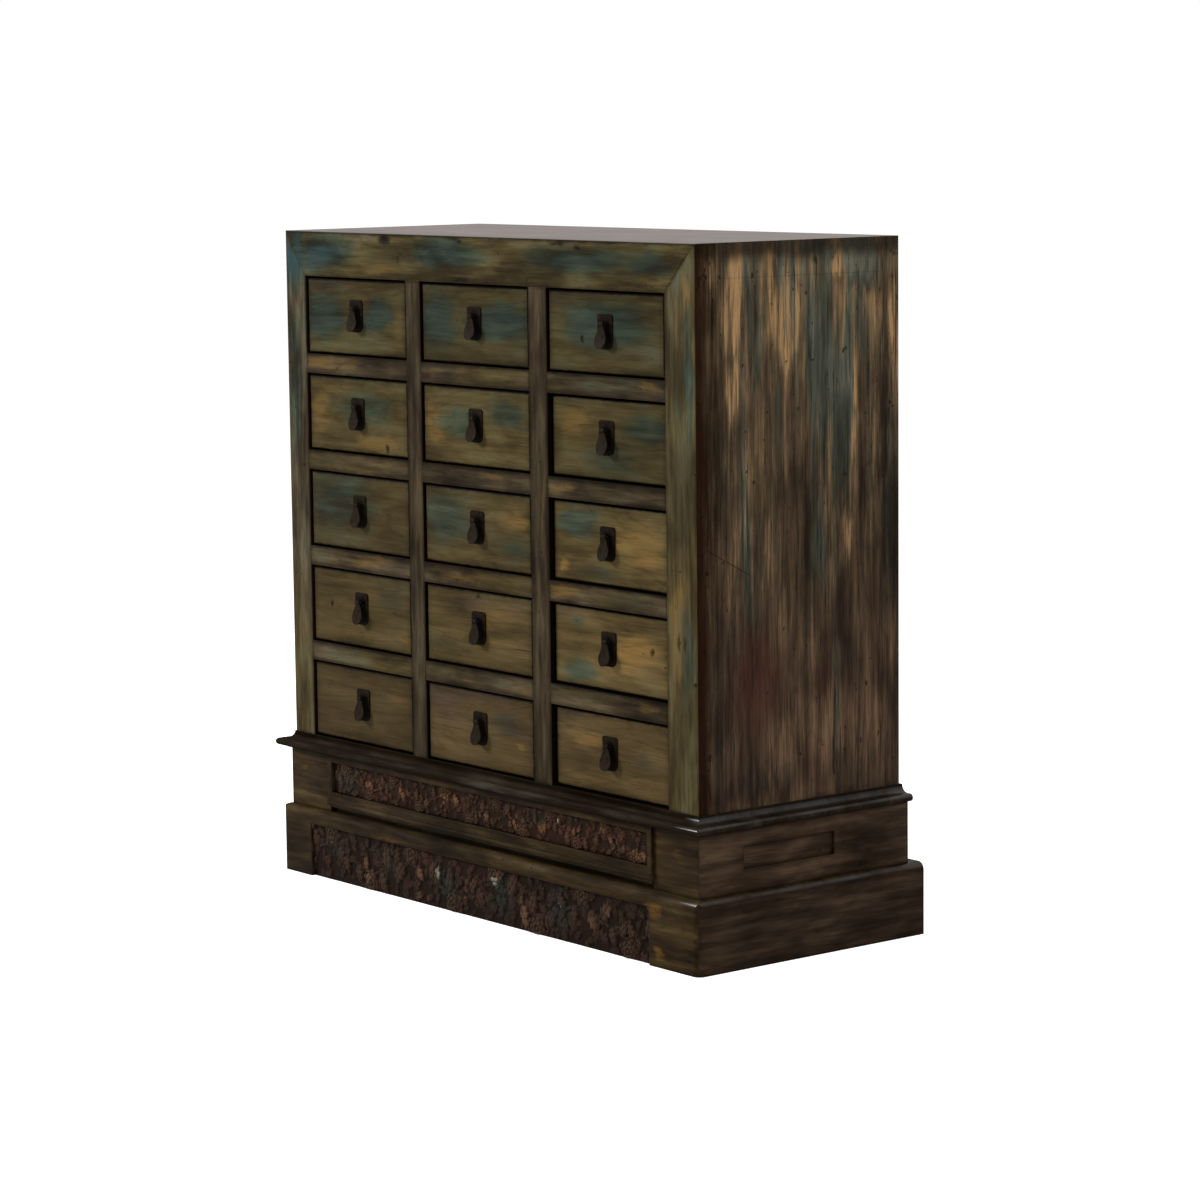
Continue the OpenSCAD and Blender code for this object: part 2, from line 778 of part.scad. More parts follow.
// One C-scroll with an eye at its inner end, its back to +X
module scroll(radius, band) {
    difference() {
        circle(radius);
        circle(radius - band);
        translate([-2 * radius, -radius / 3]) square([2 * radius, 2 * radius]);
    }
    translate([0, radius - band / 2]) circle(band * 0.9);
    translate([-radius * 0.45, -radius + band * 0.9]) circle(band * 0.8);
}

// A pointed leaf between two arcs
module leaf(length, width) {
    arc_r = (length * length / 4 + width * width / 4) / width;
    intersection() {
        translate([0, arc_r - width / 2]) circle(arc_r);
        translate([0, width / 2 - arc_r]) circle(arc_r);
    }
}

// A round flower of petals
module rosette(radius, petals) {
    circle(radius * 0.4);
    for (i = [0 : petals - 1])
        rotate(i * 360 / petals) translate([radius * 0.68, 0]) circle(radius * 0.3);
}

// A run of scrolls to both sides of a middle flower, turned over one after another
module scroll_run(length, height, count) {
    flower_r = height * 0.42;
    pitch = (length / 2 - flower_r - 4) / (count / 2);
    radius = min(height * 0.4, pitch * 0.44);
    rosette(flower_r, 8);
    for (side = [0, 1]) mirror([side, 0]) for (i = [0 : count / 2 - 1])
        translate([flower_r + 4 + (i + 0.5) * pitch, 0]) mirror([0, i % 2]) {
            scroll(radius, radius * 0.34);
            translate([-radius * 0.5, radius * 0.25]) rotate(38) leaf(radius * 1.1, radius * 0.42);
        }
}

// A carved board: ground and relief, lying in XZ with its lower left corner at the origin
module carved_board(length, height, count) {
    along_y(0, ground_t) square([length, height]);
    along_y(-relief_h, 0.5) translate([length / 2, height / 2]) scroll_run(length, height, count);
}

module carved_boards() {
    half_w = case_w / 2;
    frieze_x = -half_w - waist_out + block_left_w + bead_w + 2 * joint_gap;
    frieze_end = half_w + waist_out - block_right_w - bead_w - 2 * joint_gap;
    frieze_z = waist_z + sill_gap + sill_h + joint_gap;
    frieze_top = ledge_z - bead_w - 2 * joint_gap;
    apron_x = -half_w - plinth_out + foot_left_w + joint_gap;
    apron_end = half_w + plinth_out - foot_right_w - joint_gap;
    color(carved_stain) {
        translate([frieze_x, backing_t - waist_out - joint_gap - ground_t, frieze_z])
            carved_board(frieze_end - frieze_x, frieze_top - frieze_z, frieze_scrolls);
        translate([apron_x, carve_sink - plinth_out, 0]) {
            carved_board(apron_end - apron_x, plinth_h - cap_h - joint_gap, apron_scrolls);
            block([0, ground_t - 1, 0],
                  [apron_end - apron_x, plinth_t - carve_sink, plinth_h - cap_h - joint_gap]);
        }
    }
}

// Plinth

module cap_section() {
    translate([-cap_w + plinth_out, plinth_h - cap_h]) square([cap_w, cap_h - shoulder_r]);
    translate([-cap_w + plinth_out, plinth_h - cap_h]) square([cap_w - shoulder_r, cap_h]);
    translate([plinth_out - shoulder_r, plinth_h - shoulder_r]) circle(shoulder_r);
}

// Plan of the plinth with its two rounded front corners
module plinth_plan() {
    half_w = case_w / 2 + plinth_out;
    translate([-half_w, -plinth_out])
        eased_front(2 * half_w, case_d + plinth_out + plinth_back_out, shoulder_r);
}

module plinth() {
    half_w = case_w / 2;
    back_end = case_d + plinth_back_out;
    inner = cap_w - plinth_out;
    foot_h = plinth_h - cap_h - joint_gap;
    left_x = -half_w - plinth_out;
    right_x = half_w + plinth_out;
    board_back = back_end - rear_foot_d;
    color(olive_paint) {
        // Mitred cap frame
        intersection() {
            union() {
                intersection() {
                    along_x(left_x, right_x) mirror([1, 0]) cap_section();
                    along_z(plinth_h - cap_h, plinth_h)
                        polygon([[left_x + joint_gap, -plinth_out], [right_x - joint_gap, -plinth_out],
                                 [half_w - inner - joint_gap, inner], [-half_w + inner + joint_gap, inner]]);
                }
                for (side = [-1, 1]) from_side(side) intersection() {
                    along_y(-plinth_out, back_end) mirror([1, 0]) cap_section();
                    along_z(plinth_h - cap_h, plinth_h)
                        polygon([[-plinth_out, -plinth_out + joint_gap], [inner, inner + joint_gap],
                                 [inner, back_end], [-plinth_out, back_end]]);
                }
            }
            along_z(plinth_h - cap_h, plinth_h) plinth_plan();
        }
        block([-half_w + inner + joint_gap, back_end - cap_w, plinth_h - cap_h],
              [half_w - inner - joint_gap, back_end, plinth_h]);
        // Feet and boards
        intersection() {
            union() {
                block([left_x, -plinth_out, 0], [left_x + foot_left_w, plinth_t - plinth_out, foot_h]);
                block([right_x - foot_right_w, -plinth_out, 0], [right_x, plinth_t - plinth_out, foot_h]);
            }
            along_z(0, foot_h) plinth_plan();
        }
        for (side = [-1, 1]) from_side(side) {
            block([-plinth_out, plinth_t - plinth_out + joint_gap, 0],
                  [plinth_t - plinth_out, board_back - joint_gap, foot_h]);
            block([-plinth_out, board_back, 0], [rear_foot_w - plinth_out, back_end, foot_h]);
            block([plinth_t - plinth_out + joint_gap, plinth_t - plinth_out + joint_gap, 0],
                  [plinth_t - plinth_out + glue_block, plinth_t - plinth_out + glue_block, foot_h]);
        }
        block([left_x + rear_foot_w + joint_gap, back_end - plinth_t, 0],
              [right_x - rear_foot_w - joint_gap, back_end, foot_h]);
    }
}

// Drawers: x and z count from the lower left corner of the opening, y from the drawer's face

// Side board in YZ with its dovetails; ease widens it to cut the sockets
module dovetails(ease) {
    tail_count = 3;
    pitch = side_h / tail_count;
    tip = pitch * 0.36;
    root = pitch * 0.27;
    for (i = [0 : tail_count - 1]) {
        z = run_gap + (i + 0.5) * pitch;
        polygon([[lap_t, z - tip - ease], [lap_t, z + tip + ease],
                 [front_t + 1, z + root + ease], [front_t + 1, z - root - ease]]);
    }
}

module drawer_side() {
    inner_x = side_gap + side_t;
    difference() {
        union() {
            block([side_gap, front_t + joint_gap, run_gap], [inner_x, drawer_l, run_gap + side_h]);
            translate([0, joint_gap, 0]) along_x(side_gap, inner_x) dovetails(0);
        }
        drawer_bottom_space(joint_gap);
        drawer_back_space(joint_gap, run_gap + side_h + 1);
    }
}

module drawer_bottom_space(ease) {
    edge = side_gap + side_t - groove_d;
    block([edge - ease, front_t - groove_d - ease, run_gap + bottom_up - ease],
          [opening_w - edge + ease, drawer_l + 2 * ease, run_gap + bottom_up + bottom_t + ease]);
}

module drawer_back_space(ease, head_z) {
    edge = side_gap + side_t - groove_d;
    block([edge - ease, drawer_l - back_inset - back_t - ease,
           run_gap + bottom_up + bottom_t + 2 * joint_gap - ease],
          [opening_w - edge + ease, drawer_l - back_inset + ease, head_z]);
}

module drawer_front(staple_x) {
    front_w = opening_w - 2 * side_gap;
    front_h = opening_h - front_lift - top_gap;
    difference() {
        translate([side_gap, 0, front_lift]) intersection() {
            along_y(0, front_t) square([front_w, front_h]);
            along_x(0, front_w) rotate(90) mirror([0, 1]) eased_front(front_h, front_t, front_edge_r);
            along_z(0, front_h) eased_front(front_w, front_t, front_edge_r);
        }
        along_x(0, side_gap + side_t + joint_gap) dovetails(joint_gap);
        along_x(opening_w - side_gap - side_t - joint_gap, opening_w) dovetails(joint_gap);
        drawer_bottom_space(joint_gap);
        staple_holes(staple_x);
    }
}

module staple_holes(staple_x) {
    for (side = [-1, 1])
        translate([staple_x + side * staple_w / 2, -1, opening_h / 2 + pull_up + staple_up])
            rotate([-90, 0, 0]) cylinder(h = front_t + 2, r = staple_r + 0.3);
}

module drawer(row, column) {
    translate([opening_x(column), drawer_y(row, column), opening_z(row)]) color(drawer_paint) {
        drawer_front(pull_x(row, column));
        drawer_side();
        translate([opening_w, 0, 0]) mirror([1, 0, 0]) drawer_side();
        drawer_bottom_space(-joint_gap);
        drawer_back_space(-joint_gap, run_gap + side_h - back_drop);
    }
}

// Iron pulls: the origin is the middle of the plate on the drawer's face

module at_pull(row, column) {
    translate([opening_x(column) + pull_x(row, column), drawer_y(row, column),
               opening_z(row) + opening_h / 2 + pull_up]) children();
}

module plate_outline() {
    left = -plate_w / 2;
    low = -plate_h / 2;
    translate([left, low + plate_low_r]) square([plate_w, plate_h - plate_low_r - plate_top_r]);
    translate([left + plate_low_r, low]) square([plate_w - 2 * plate_low_r, plate_h / 2]);
    translate([left + plate_top_r, 0]) square([plate_w - 2 * plate_top_r, plate_h / 2]);
    for (side = [-1, 1]) {
        translate([side * (plate_w / 2 - plate_low_r), low + plate_low_r]) circle(plate_low_r, $fn = 64);
        translate([side * (plate_w / 2 - plate_top_r), -low - plate_top_r]) circle(plate_top_r, $fn = 48);
    }
}

// The staple: a cross bar, two legs through plate and drawer front, ends clinched inside
module staple() {
    bar_y = -plate_t - stand_off;
    inner_y = front_t + staple_r + 0.1;
    translate([-staple_w / 2, bar_y, 0]) rotate([0, 90, 0]) cylinder(h = staple_w, r = staple_r);
    for (side = [-1, 1]) translate([side * staple_w / 2, 0, 0]) {
        translate([0, bar_y, 0]) rotate([-90, 0, 0]) cylinder(h = inner_y - bar_y, r = staple_r);
        translate([0, bar_y, 0]) sphere(staple_r);
        translate([0, inner_y, 0]) sphere(staple_r);
        translate([0, inner_y, 0]) cylinder(h = clinch_l, r = staple_r);
    }
}

module plate(row, column) {
    at_pull(row, column) color(dark_iron) {
        difference() {
            along_y(-plate_t, 0) plate_outline();
            for (side = [-1, 1])
                translate([side * staple_w / 2, -plate_t - 1, staple_up])
                    rotate([-90, 0, 0]) cylinder(h = plate_t + 2, r = staple_r + 0.2);
        }
        translate([0, 0, staple_up]) staple();
    }
}

// Pendant, shaped as a drop: the origin is the axis of the cross bar
module pendant_outline() {
    low_r = pendant_low_w / 2;
    drop = pendant_l - low_r;
    slope = asin((low_r - pendant_top_w / 2) / drop);
    edge = [low_r * cos(slope), low_r * sin(slope) - drop];
    translate([0, -drop]) circle(low_r, $fn = 96);
    polygon([[-pendant_top_w / 2, 0], [pendant_top_w / 2, 0], edge, [-edge[0], edge[1]]]);
}

module pull(row, column) {
    eye_r = staple_r + eye_clear + eye_wall;
    eye_l = staple_w - 2 * staple_r - 0.8;
    at_pull(row, column) translate([0, -plate_t - stand_off, staple_up]) color(dark_iron)
        difference() {
            union() {
                rotate([0, 90, 0]) cylinder(h = eye_l, r = eye_r, center = true);
                intersection() {
                    along_y(-pendant_l, pendant_t) pendant_outline();
                    along_x(-pendant_low_w, pendant_low_w) difference() {
                        translate([-pendant_bend_r, -1]) circle(pendant_bend_r + pendant_t / 2, $fn = 180);
                        translate([-pendant_bend_r, -1]) circle(pendant_bend_r - pendant_t / 2, $fn = 180);
                    }
                }
            }
            rotate([0, 90, 0]) cylinder(h = pendant_low_w, r = staple_r + eye_clear, center = true);
        }
}

translate([0, face_y, 0]) {
    front_posts();
    front_top_rail();
    column_uprights();
    row_rails();
    rear_frame();
    side_top_rails();
    side_panels();
    top_panel();
    back_panel();
    bottom_panel();
    drawer_guides();
    ledge_frame();
    waist();
    carved_boards();
    plinth();
    for (row = row_range, column = column_range) {
        drawer(row, column);
        plate(row, column);
        pull(row, column);
    }
}
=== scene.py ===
import math
import random

import bmesh
import bpy
import numpy as np
from mathutils import Matrix, Vector


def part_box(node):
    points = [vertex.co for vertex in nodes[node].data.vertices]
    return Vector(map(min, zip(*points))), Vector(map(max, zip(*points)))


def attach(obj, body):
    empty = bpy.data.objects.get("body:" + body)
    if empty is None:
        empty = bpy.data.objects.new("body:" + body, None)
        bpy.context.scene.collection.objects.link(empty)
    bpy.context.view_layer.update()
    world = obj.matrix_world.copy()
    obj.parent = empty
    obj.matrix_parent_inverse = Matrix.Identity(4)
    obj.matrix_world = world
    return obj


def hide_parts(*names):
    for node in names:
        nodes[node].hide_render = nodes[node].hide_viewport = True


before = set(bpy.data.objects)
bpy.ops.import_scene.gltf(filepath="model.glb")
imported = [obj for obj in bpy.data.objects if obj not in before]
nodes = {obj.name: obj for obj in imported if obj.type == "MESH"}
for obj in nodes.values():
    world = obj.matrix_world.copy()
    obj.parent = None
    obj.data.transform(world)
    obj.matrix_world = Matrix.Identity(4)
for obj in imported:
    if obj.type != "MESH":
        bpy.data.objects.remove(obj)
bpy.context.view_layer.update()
print("frame loaded with", len(nodes), "nodes")

rows = [1, 2, 3, 4, 5]  # from the top
columns = ["left", "middle", "right"]


# Small helpers for building materials

def tone(red, green, blue):  # a screen colour, made linear
    parts = [v / 255 for v in (red, green, blue)]
    return tuple(v / 12.92 if v < 0.04 else ((v + 0.055) / 1.055) ** 2.4 for v in parts) + (1,)


opened = []  # the material or world that new nodes go to comes last


def openNodes(owner):
    owner.use_nodes = True
    owner.node_tree.nodes.clear()
    opened.append(owner)
    return owner


def add(kind, values=None, **settings):
    nodeTree = opened[-1].node_tree
    made = nodeTree.nodes.new("ShaderNode" + kind)
    for name, value in settings.items():
        setattr(made, name, value)
    for key, value in (values or {}).items():
        if isinstance(value, bpy.types.NodeSocket):
            nodeTree.links.new(value, made.inputs[key])
        else:
            made.inputs[key].default_value = value
    return made


def calc(operation, first, second=0.0, third=0.0):
    return add("Math", {0: first, 1: second, 2: third}, operation=operation).outputs[0]


def times(first, second):
    return calc("MULTIPLY", first, second)


def most(first, *others):
    for other in others:
        first = calc("MAXIMUM", first, other)
    return first


def within(value, start, end):  # how deep a value is between two ends
    aside = calc("ABSOLUTE", calc("SUBTRACT", value, (start + end) / 2))
    return calc("SUBTRACT", (end - start) / 2, aside)


def ease(value, low, high, start=0.0, end=1.0):  # a soft step from start to end
    if low > high:
        low, high, start, end = high, low, end, start
    return add("MapRange", {"Value": value, "From Min": low, "From Max": high,
                            "To Min": start, "To Max": end},
               interpolation_type="SMOOTHSTEP").outputs[0]


def mixed(factor, low, high):
    return add("Mix", {0: factor, 6: low, 7: high}, data_type="RGBA").outputs[2]


def ramp(value, tones):  # screen colours at even steps from 0 to 1
    made = add("ValToRGB", {0: value})
    stops = made.color_ramp.elements
    last = len(tones) - 1
    stops[0].color, stops[1].color = tone(*tones[0]), tone(*tones[last])
    for index in range(1, last):
        stops.new(index / last).color = tone(*tones[index])
    return made.outputs[0]


def blended(parts):  # a sum of (amount, value) pairs
    total = 0.0
    for amount, value in parts:
        total = calc("MULTIPLY_ADD", value, amount, total)
    return total


def dimmed(colour, amount):
    return add("VectorMath", {0: colour, "Scale": amount}, operation="SCALE").outputs[0]


def lit(made, amount):  # a finish (colour, roughness, height) made lighter or darker
    return dimmed(made[0], amount), *made[1:]


def tinted(colour, amounts):  # red, green and blue each times their own amount
    return add("VectorMath", {0: colour, 1: amounts}, operation="MULTIPLY").outputs[0]


def mapped(point, shift=(0, 0, 0), scale=(1, 1, 1), kind="POINT"):
    return add("Mapping", {"Vector": point, "Location": shift, "Scale": scale},
               vector_type=kind).outputs[0]


def noise(point, detail=3.0, rough=0.55, twist=0.0):
    return add("TexNoise", {"Vector": point, "Scale": 1.0, "Detail": detail,
                            "Roughness": rough, "Distortion": twist}).outputs["Fac"]


def cloud(point, fineness, detail=3.0):  # noise with the same grain in all directions
    return noise(mapped(point, scale=(fineness,) * 3), detail)


def startMaterial(name):
    openNodes(bpy.data.materials.new(name))
    place = add("TexCoord")
    part = add("SeparateXYZ", {0: place.outputs["Object"]})
    face = add("SeparateXYZ", {0: place.outputs["Normal"]})
    return {"point": place.outputs["Object"], "part": part.outputs, "face": face.outputs}


def finishMaterial(colour, rough, height, finish, coat=0.0, normal=None):
    relief = {"Strength": finish["bump"], "Distance": finish["depth"], "Height": height}
    if normal is not None:
        relief["Normal"] = normal
    shader = add("BsdfPrincipled", {
        "Base Color": colour, "Roughness": rough, "Coat Weight": coat,
        "Specular IOR Level": finish["shine"], "Coat Roughness": finish.get("waxRough", 0.25),
        "Normal": add("Bump", relief).outputs[0],
    })
    add("OutputMaterial", {"Surface": shader.outputs[0]})
    return opened[-1]


def wear(nodeName, material):
    cad = nodes[nodeName]
    cad.data.materials.clear()
    cad.data.materials.append(material)


# Camera, light and stage

def placed(name, data):
    made = bpy.data.objects.new(name, data)
    bpy.context.scene.collection.objects.link(made)
    return made


def placedShape(name, shape):
    mesh = bpy.data.meshes.new(name)
    shape.to_mesh(mesh)
    shape.free()
    return placed(name, mesh)


camera = {
    "azimuth": 51.44,  # degrees round the chest from its front
    "elevation": 7.45,
    "roll": -0.66,
    "place": (4.6925, -3.7078, 1.2695),
    "lens": 113.3,
}


def setCamera(values):
    turn, rise, roll = (math.radians(values[k]) for k in ("azimuth", "elevation", "roll"))
    back = Vector((math.sin(turn) * math.cos(rise), -math.cos(turn) * math.cos(rise),
                   math.sin(rise)))
    right = Vector((math.cos(turn), math.sin(turn), 0))
    up = back.cross(right)
    across = math.cos(roll) * right + math.sin(roll) * up
    upward = -math.sin(roll) * right + math.cos(roll) * up
    data = bpy.data.cameras.new("camera")
    data.lens = values["lens"]
    data.sensor_width = 36
    data.clip_end = 100
    made = placed("camera", data)
    made.matrix_world = Matrix.Translation(values["place"]) @ Matrix(
        (across, upward, back)).transposed().to_4x4()
    bpy.context.scene.camera = made


lighting = {
    "skyLevel": 0.40,  # light from all around
    "lamps": [  # name, place, what it points at, width, power in watts
        ("keyLamp", (-4.2, -3.7, 2.9), (0, -0.1, 0.55), 1.3, 430),
        ("fillLamp", (4.6, -1.2, 2.6), (0.2, 0, 0.6), 2.4, 150),
        ("overheadLamp", (0.2, 0.4, 4.2), (0, 0, 0.8), 2.4, 70),
    ],
    "floorShade": 0.75,  # how much of the floor's white comes from the light on it
    "floorWhite": 1.03,
    "floorGrey": 0.8,  # what the object sees of the floor
    "floorRadius": 40,
}


def unlitRays():  # 1 for rays that should find a plain white background
    path = add("LightPath")
    return most(*(path.outputs[f"Is {kind} Ray"] for kind in ("Camera", "Glossy", "Transmission")))


def setStage(values):
    scene = bpy.context.scene
    scene.view_settings.view_transform = "Standard"
    scene.world = openNodes(bpy.data.worlds.new("studio"))
    level = most(unlitRays(), values["skyLevel"])
    sky = add("Background", {"Color": (1, 1, 1, 1), "Strength": level})
    add("OutputWorld", {"Surface": sky.outputs[0]})
    for name, place, target, width, power in values["lamps"]:
        data = bpy.data.lights.new(name, "AREA")
        data.shape = "DISK"
        data.size = width
        data.energy = power
        lamp = placed(name, data)
        lamp.location = place
        lamp.rotation_euler = (Vector(target) - Vector(place)).to_track_quat("-Z", "Y").to_euler()


def layFloor(values):
    shape = bmesh.new()
    bmesh.ops.create_circle(shape, cap_ends=True, segments=64, radius=values["floorRadius"])
    bmesh.ops.translate(shape, verts=shape.verts, vec=(0, 0, -0.0004))
    floor = placedShape("floor", shape)
    floor.data.materials.append(openNodes(bpy.data.materials.new("pale floor")))
    share, grey = values["floorShade"], values["floorGrey"]
    plain = add("BsdfDiffuse", {"Color": (grey, grey, grey, 1)})
    shaded = add("BsdfDiffuse", {"Color": (share, share, share, 1)})
    rest = values["floorWhite"] - share * values["skyLevel"]  # what the sky's light leaves to white
    white = add("Emission", {"Color": (1, 1, 1, 1), "Strength": rest})
    seen = add("AddShader", {0: shaded.outputs[0], 1: white.outputs[0]})
    both = add("MixShader", {0: unlitRays(), 1: plain.outputs[0], 2: seen.outputs[0]})
    add("OutputMaterial", {"Surface": both.outputs[0]})


setCamera(camera)
setStage(lighting)
layFloor(lighting)
print("camera, lamps and floor are set")


# Wood figure: long noises along the grain (0 is X, 1 is Y, 2 is Z)

woodLayers = {  # how fine each is along and across the grain, detail, roughness and distortion
    "broad": (3.2, 8, 2, 0.55, 0.0), "patch": (7, 19, 3, 0.6, 0.3), "soft": (5, 34, 3, 0.6, 0.0),
    "streak": (7, 105, 4, 0.62, 0.0), "line": (20, 560, 2, 0.6, 0.0),
}
ringCount = 15.0


def woodFigure(point, along, seed=0.0):
    moved = mapped(point, shift=(seed * 1.31, seed * 0.73, seed * 2.17))

    def stretched(little, much):
        size = [much] * 3
        size[along] = little
        return mapped(moved, scale=size)

    rings = noise(stretched(1.5, 12), detail=1.5, twist=0.4)
    rings = calc("PINGPONG", times(rings, ringCount), 0.5)
    dashes = ease(noise(stretched(10, 380), detail=2), 0.66, 0.74)
    figure = {name: noise(stretched(little, much), *rest)
              for name, (little, much, *rest) in woodLayers.items()}
    figure["ring"] = ease(rings, 0.16, 0.02)
    figure["crack"] = times(dashes, ease(noise(stretched(3, 22)), 0.48, 0.60))
    return figure


def softSpots(point, spots, flat, boxes=None):  # only the patches that reach into a box
    total = None
    for across, up, wide, high, amount in spots:
        if boxes is not None and not any(
                across + wide > box[0] and across - wide < box[1]
                and up + high > box[2] and up - high < box[3] for box in boxes):
            continue
        middle = [0, 0, up / 1000]
        size = [1000, 1000, high / 1000]
        middle[1 if flat == 0 else 0] = across / 1000
        size[1 if flat == 0 else 0] = wide / 1000
        near = mapped(point, shift=middle, scale=size, kind="TEXTURE")
        far = add("VectorMath", {0: near}, operation="LENGTH").outputs["Value"]
        spot = ease(far, 1.35, 0.25, 0.0, amount)
        total = spot if total is None else most(total, spot)
    return total if total is not None else 0.0


def wandering(point, reach, scale):  # a point moved about, for the ragged edges of patches
    drift = add("TexNoise", {"Vector": mapped(point, scale=scale), "Scale": 1.0,
                             "Detail": 4.0, "Roughness": 0.65}).outputs["Color"]
    centred = add("VectorMath", {0: drift, 1: (0.5, 0.5, 0.5)}, operation="SUBTRACT").outputs[0]
    return add("VectorMath", {0: centred, 1: reach, 2: point},
               operation="MULTIPLY_ADD").outputs[0]


# Old oil paint on the face frame and the drawers, as screen colours from dark to light

facePaint = {
    "ochre": [(37, 30, 15), (53, 44, 24), (66, 56, 31), (79, 67, 39), (97, 82, 50)],
    "worn": [(19, 14, 8), (37, 30, 20), (51, 42, 30), (65, 54, 40), (88, 73, 54)],
    "blue": [(19, 21, 14), (34, 39, 29), (48, 54, 40), (63, 69, 52)],
    "teal": tone(34, 52, 53), "rust": tone(102, 79, 40), "bare": tone(74, 54, 32),
    # the darkest colour, for nicks and dirt, and for painted shade in gaps and corners
    "grimeAndShade": tone(6, 4, 2),
}
paintFinish = {"bump": 0.6, "depth": 0.0007, "shine": 0.012, "waxRough": 0.3}

# Patches of colour: across, up, half width and half height in millimetres, and amount

bluePatches = [
    (-415, 1037, 78, 36, 0.95), (-80, 1046, 100, 26, 0.8), (250, 1043, 135, 25, 0.75),
    (425, 1035, 60, 24, 0.6), (-498, 1025, 32, 62, 0.9), (497, 1012, 24, 50, 0.2),
    (509, 880, 17, 100, 0.7), (480, 860, 14, 60, 0.4), (503, 480, 18, 85, 0.45),
    (-500, 900, 18, 60, 0.6), (-500, 790, 20, 90, 0.65),
    (-420, 937, 62, 34, 0.8), (-272, 941, 50, 32, 0.8), (-107, 937, 55, 55, 0.7),
    (62, 941, 88, 32, 1.0), (318, 947, 108, 40, 0.85),
    (-315, 792, 92, 32, 0.6), (-55, 774, 55, 26, 0.55), (75, 799, 58, 28, 0.8),
    (402, 794, 58, 34, 0.75), (330, 750, 90, 34, 0.45), (-382, 629, 110, 56, 0.6),
    (-92, 629, 70, 48, 0.6), (80, 587, 56, 22, 0.4), (240, 647, 54, 28, 0.85), (285, 574, 62, 16, 0.5),
    (-248, 484, 42, 30, 0.4), (-107, 429, 52, 22, 0.3), (235, 427, 42, 26, 0.8),
    (230, 497, 30, 20, 0.45), (65, 317, 46, 20, 0.5), (380, 289, 28, 22, 0.4),
    # on the rails
    (285, 857, 60, 14, 0.3), (360, 857, 50, 14, 0.25), (-430, 698, 40, 14, 0.22),
    (-222, 698, 34, 12, 0.2), (-120, 698, 34, 12, 0.12), (-430, 539, 40, 12, 0.12),
    (370, 539, 60, 14, 0.22), (-370, 380, 70, 14, 0.1), (-110, 380, 60, 12, 0.12),
    (40, 380, 50, 12, 0.1),
]
ochrePatches = [
    (-250, 1012, 98, 12, 0.55), (-105, 1008, 62, 10, 0.7), (415, 1009, 58, 8, 0.3),
    (35, 1020, 50, 18, 0.4), (476, 894, 16, 95, 0.15), (486, 510, 26, 90, 0.9),
    (474, 400, 16, 80, 0.3), (-498, 919, 18, 55, 0.5), (-500, 380, 22, 90, 0.5),
    (-325, 987, 66, 12, 0.5), (-365, 887, 68, 12, 0.7), (-212, 925, 24, 42, 0.6),
    (75, 984, 52, 12, 0.4), (205, 945, 22, 45, 0.4), (-435, 775, 34, 50, 0.7),
    (-285, 734, 100, 16, 0.8), (-122, 775, 32, 46, 0.8), (238, 802, 52, 27, 0.8),
    (80, 644, 60, 28, 0.8), (372, 619, 88, 44, 0.8), (203, 580, 26, 22, 0.9),
    (40, 470, 88, 34, 0.5), (372, 459, 88, 48, 0.65), (-210, 425, 30, 20, 0.5),
    (-232, 327, 48, 30, 0.6), (-80, 294, 60, 40, 0.35), (255, 324, 54, 26, 0.6),
    (500, 1010, 16, 34, 1.3), (92, 290, 12, 10, 0.9), (440, 88, 18, 10, 1.0), (448, 22, 16, 14, 1.0),
    (-505, 172, 14, 16, 0.7), (-300, 92, 120, 6, 0.6), (120, 90, 160, 6, 0.5), (480, 172, 20, 14, 0.4),
    # on the rails
    (-430, 858, 44, 12, 0.5), (-350, 857, 60, 10, 0.4), (414, 858, 28, 12, 0.7),
    (-120, 859, 40, 8, 0.4), (30, 699, 44, 10, 0.5), (205, 700, 34, 10, 0.45),
    (-285, 540, 66, 10, 0.55), (-30, 540, 90, 10, 0.6), (220, 541, 54, 10, 0.55),
    (414, 381, 34, 10, 0.45), (-222, 380, 34, 8, 0.4),
]
darkPatches = [  # nicks, knots and dull areas
    (-243, 1062, 18, 12, 0.95), (-207, 1030, 9, 10, 0.6), (206, 1066, 26, 5, 0.85),
    (252, 1060, 10, 5, 0.8), (-60, 1068, 22, 4, 0.6), (262, 925, 5, 5, 0.85), (-248, 728, 4, 8, 0.85),
    (-395, 836, 10, 4, 0.8), (-413, 462, 5, 6, 0.85), (-9, 511, 8, 4, 0.7), (412, 465, 5, 7, 0.85),
    (394, 360, 12, 5, 0.85), (484, 490, 4, 14, 0.7), (497, 488, 4, 12, 0.6), (519, 430, 4, 6, 0.9),
    (-40, 1003, 30, 5, 0.8), (370, 1037, 100, 32, 0.42), (-225, 1040, 80, 26, 0.3),
    (175, 1037, 90, 26, 0.25), (492, 710, 34, 110, 0.45), (490, 340, 34, 90, 0.28),
    (-497, 320, 24, 90, 0.2), (190, 760, 16, 40, 0.3), (-440, 600, 20, 30, 0.25),
]


paintLevel = {"patch": 0.34, "soft": 0.30, "streak": 0.26, "line": 0.10}  # what makes light and dark
paintReach = {0: (0.10, 0.0, 0.05), 1: (0.04, 0.0, 0.16), 2: (0.04, 0.0, 0.16)}  # how far patches run
paintRun = {0: (9, 9, 26), 1: (40, 40, 9), 2: (40, 40, 9)}


